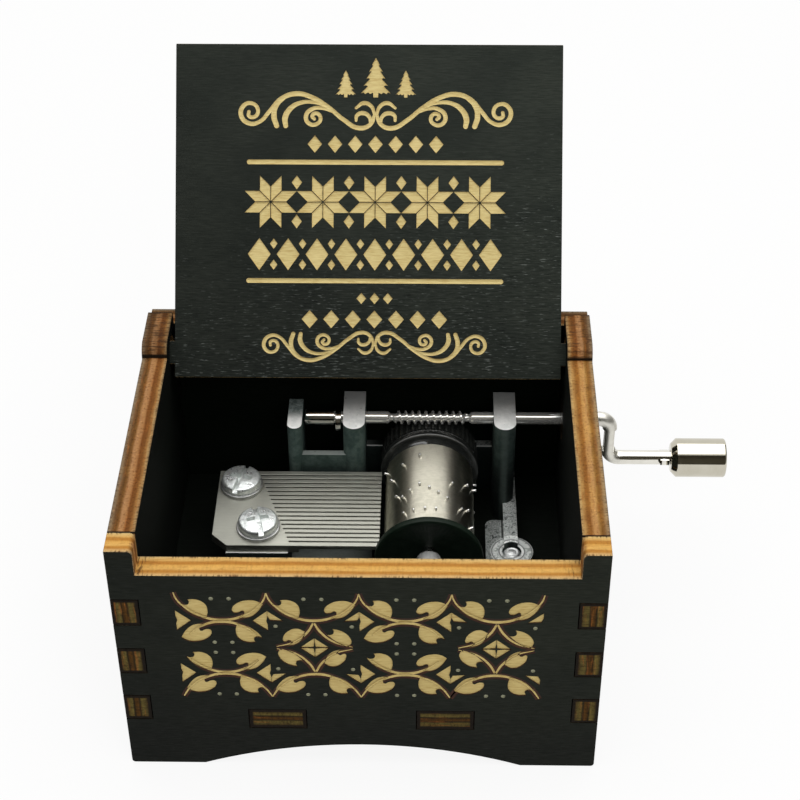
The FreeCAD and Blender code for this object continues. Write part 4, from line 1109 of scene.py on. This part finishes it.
def panels():
    front = eased("front_panel", PANEL_PLY, 0.1)
    shapes, halos, dots = front_engraving()
    carve(front, halos, FRONT_FACE, 1, CHARRED)
    carve(front, dots, FRONT_FACE, 2, SCORCHED_DOT)
    carve(front, shapes, FRONT_FACE, 3, ENGRAVED_FRONT)
    board = eased("lid", LID_PLY, 0.1)
    carve(board, lid_engraving(), LID_FACE, 1, ENGRAVED_LID)
    eased("back_panel", PANEL_PLY, 0.1)
    for side in ("left_panel", "right_panel"):
        eased(side, SIDE_PLY, 0.1)
    eased("bottom_panel", FLOOR_PLY, 0.08)


def on_flange(edge):
    return all(vert.co.y < FLANGE_REAR * MM
               and math.hypot(vert.co.x - CYLINDER.x * MM, vert.co.z - CYLINDER.z * MM)
               > FLANGE_REACH * MM for vert in edge.verts)


def movement():
    eased("movement_frame", ZINC, 0.14, 3, 50)
    eased("comb", COMB, 0.04, 1)
    eased("comb_screws", SCREW, 0.06, smooth=35)
    eased("comb_washers", WASHER, 0.05, smooth=40)
    # The tips of the screws from below, each dished with a ring round the dish
    points = ease(merged("mounting_screws"), 0.05)
    ends = [face for face in points.faces
            if face.normal.z > 0.99 and face.calc_center_median().z > 13.4 * MM]
    for thick, rise in ((0.16, 0), (0.08, -0.12), (0.08, 0.12)):
        bmesh.ops.inset_individual(points, faces=ends, thickness=thick * MM, depth=rise * MM)
    stand_for(points, "mounting_screws", MOUNTING, 35)
    eased("tuning_weights", LEAD, 0.05, 1)
    sleeve()
    wheel = ease(merged("cylinder_gear"), 0.16, 3, on_flange)
    stand_for(wheel, "cylinder_gear", BLACK, 35)
    eased("cylinder_end_cap", CAP_BLACK, 0.08, smooth=35)
    stand_for(merged("cylinder_arbor"), "cylinder_arbor", ARBOR, 35)
    eased("cylinder_pins", PIN, 0.04, smooth=35)


def turned(outline, middle, axis):
    """A closed ring from an outline of (along, radius) places, spun about an axis."""
    bm = bmesh.new()
    side = Vector((0, 0, 1))
    corners = [bm.verts.new((middle + axis * along + side * radius) * MM)
               for along, radius in outline]
    edges = [bm.edges.new(pair) for pair in zip(corners, corners[1:] + corners[:1])]
    bmesh.ops.spin(bm, geom=corners + edges, cent=middle * MM, axis=axis, angle=math.tau,
                   steps=96, use_merge=True)
    bmesh.ops.remove_doubles(bm, verts=bm.verts, dist=0.0005 * MM)
    bmesh.ops.recalc_face_normals(bm, faces=bm.faces)
    return bm


def sleeve():
    """The cylinder's slim wall with rolled rims; the pins pass through it."""
    low, high = (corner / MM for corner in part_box("cylinder_sleeve"))
    bore, rim, wall = 5.95, 6.38, 6.45
    roll = wall - rim
    outline = ((low.y, bore), (low.y, rim), (low.y + roll, wall), (high.y - roll, wall),
               (high.y, rim), (high.y, bore))
    tube = turned(outline, Vector((CYLINDER.x, 0, CYLINDER.z)), Vector((0, 1, 0)))
    stand_for(tube, "cylinder_sleeve", SLEEVE, 30)


def knob():
    """The turned knob: chamfered where the pin enters, recessed round the pin's head."""
    low, high = (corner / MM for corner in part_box("crank_knob"))
    inner, outer = low.x, high.x
    radius = (high.z - low.z) / 2
    near = ((0, -0.85), (0.03, -0.79), (0.12, -0.69), (0.72, -0.06), (0.8, -0.01), (0.88, 0),
            (1, 0))
    far = ((-0.4, 0), (-0.3, 0), (-0.15, -0.04), (-0.04, -0.15), (0, -0.3))
    bore, recess = 1.13, 1.8
    outline = ((inner, bore), *((inner + along, radius + out) for along, out in near),
               *((outer + along, radius + out) for along, out in far), (outer, 1.86),
               (outer - 0.06, recess), (outer - 1.1, recess), (outer - 1.1, bore))
    bm = turned(outline, Vector((0, KNOB.y, KNOB.z)), Vector((1, 0, 0)))
    stand_for(bm, "crank_knob", KNOB_NICKEL, 35)


def ringed(bm, places):
    """Parts the long faces of a rod along X, so that its sheen runs true."""
    for along in places:
        bmesh.ops.bisect_plane(bm, geom=bm.verts[:] + bm.edges[:] + bm.faces[:], dist=0.001 * MM,
                               plane_co=(along * MM, 0, 0), plane_no=(1, 0, 0))
    return bm


# The worm's full thread goes THREAD_HALF each way from the cylinder's middle and runs out
# over RUN_OUT; the others are radii about the shaft.
THREAD_HALF = 4.8
RUN_OUT = 0.95
THREAD_CORE = 0.58
THREAD_FOOT = 0.6
THREAD_CREST = 1.04


def crank():
    """The worm's thread runs out at its ends instead of stopping."""
    rod = merged("crank_shaft")
    for vert in rod.verts:
        past = abs(vert.co.x / MM - CYLINDER.x) - THREAD_HALF
        if 0 < past < RUN_OUT:
            away = Vector((0, vert.co.y, vert.co.z)) - SHAFT * MM
            if away.length > THREAD_FOOT * MM:
                kept = max(THREAD_CORE, THREAD_CREST - 0.7 * past) * MM
                vert.co += away * (min(kept / away.length, 1) - 1)
    rod = ringed(rod, (-4.5, -2, 0.5, 2.5, 15.5, 17, 19, 22, 25, 28, 29.6, 31, 39, 40, 41, 42,
                       43, 44))
    stand_for(rod, "crank_shaft", NICKEL, 35)
    eased("shaft_collar", COLLAR, 0.06, smooth=35)
    eased("shaft_end_sleeve", COLLAR, 0.04, smooth=35)
    knob()


# Floor, world and lamps

def seen_directly(tree):
    """1 for what the camera sees, or sees in metal."""
    path = put("LightPath", tree=tree).outputs
    return most(path["Is Camera Ray"], path["Is Glossy Ray"], path["Is Transmission Ray"])


def mixed(tree, kind, *feeds):
    """Mixes two shaders, after their share, into the tree's output."""
    mix = tree.nodes.new("ShaderNodeMixShader")
    for feed, socket in zip(feeds, mix.inputs):
        join(feed, socket)
    join(mix, tree.nodes.new("ShaderNodeOutput" + kind).inputs[0])


def pale_world():
    world = bpy.data.worlds.new("studio")
    tree = bare_tree(world)
    light = put("Background", tree=tree, Color=(1, 0.99, 0.97), Strength=0.25)
    white = put("Background", tree=tree, Color=(1, 1, 1), Strength=1)
    mixed(tree, "World", seen_directly(tree), light, white)
    bpy.context.scene.world = world


def studio_floor():
    bm = bmesh.new()
    bmesh.ops.create_grid(bm, x_segments=1, y_segments=1, size=2)
    floor = linked("studio_floor", meshed("studio_floor", bm))
    material = bpy.data.materials.new("studio_white")
    tree = bare_tree(material)
    matt = put("BsdfDiffuse", tree=tree, Color=(0.85, 0.85, 0.84))
    glow = put("Emission", tree=tree, Color=(1, 1, 1), Strength=1)
    mixed(tree, "Material", times(seen_directly(tree), 0.88), matt, glow)
    floor.data.materials.append(material)


def dark_cards():
    """Black cards round the table that only metal sees: one beyond the camera, two beside."""
    bm = bmesh.new()
    upright = Matrix.Rotation(math.radians(90), 4, "X") @ Matrix.Diagonal((0.9, 0.65, 1, 1))
    for turn, away in ((0, 0.9), (90, 1), (-90, 1)):
        spot = Matrix.Rotation(math.radians(turn), 4, "Z") @ Matrix.Translation((0, -away, 0.65))
        bmesh.ops.create_grid(bm, x_segments=1, y_segments=1, size=1, matrix=spot @ upright)
    card = linked("dark_cards", meshed("dark_cards", bm))
    material = bpy.data.materials.new("card_black")
    material.use_nodes = True
    shader = material.node_tree.nodes["Principled BSDF"]
    fill(shader, Base_Color=(0.1, 0.09, 0.065), Roughness=0.9)
    card.data.materials.append(material)
    card.visible_camera = card.visible_diffuse = card.visible_shadow = False


def lamp(name, at, aim, size, power, shines=True):
    """A softbox; metal doesn't show one that doesn't shine."""
    data = bpy.data.lights.new(name, "AREA")
    data.shape = "RECTANGLE"
    data.size, data.size_y = size
    data.energy = power
    light = linked(name, data)
    way = Vector(aim) - Vector(at)
    light.matrix_world = Matrix.Translation(at) @ way.to_track_quat("-Z", "Y").to_matrix().to_4x4()
    light.visible_glossy = shines


photo_camera()
pale_world()
studio_floor()
lamp("overhead_softbox", (0, 0.13, 0.75), (0, 0.13, 0), (1.2, 1), 6.6)
lamp("front_softbox", (0.15, -0.55, 0.5), (0, 0, 0.03), (0.5, 0.3), 2, shines=False)
dark_cards()
panels()
movement()
crank()

bpy.context.scene.view_settings.view_transform = "Standard"
bpy.context.view_layer.update()
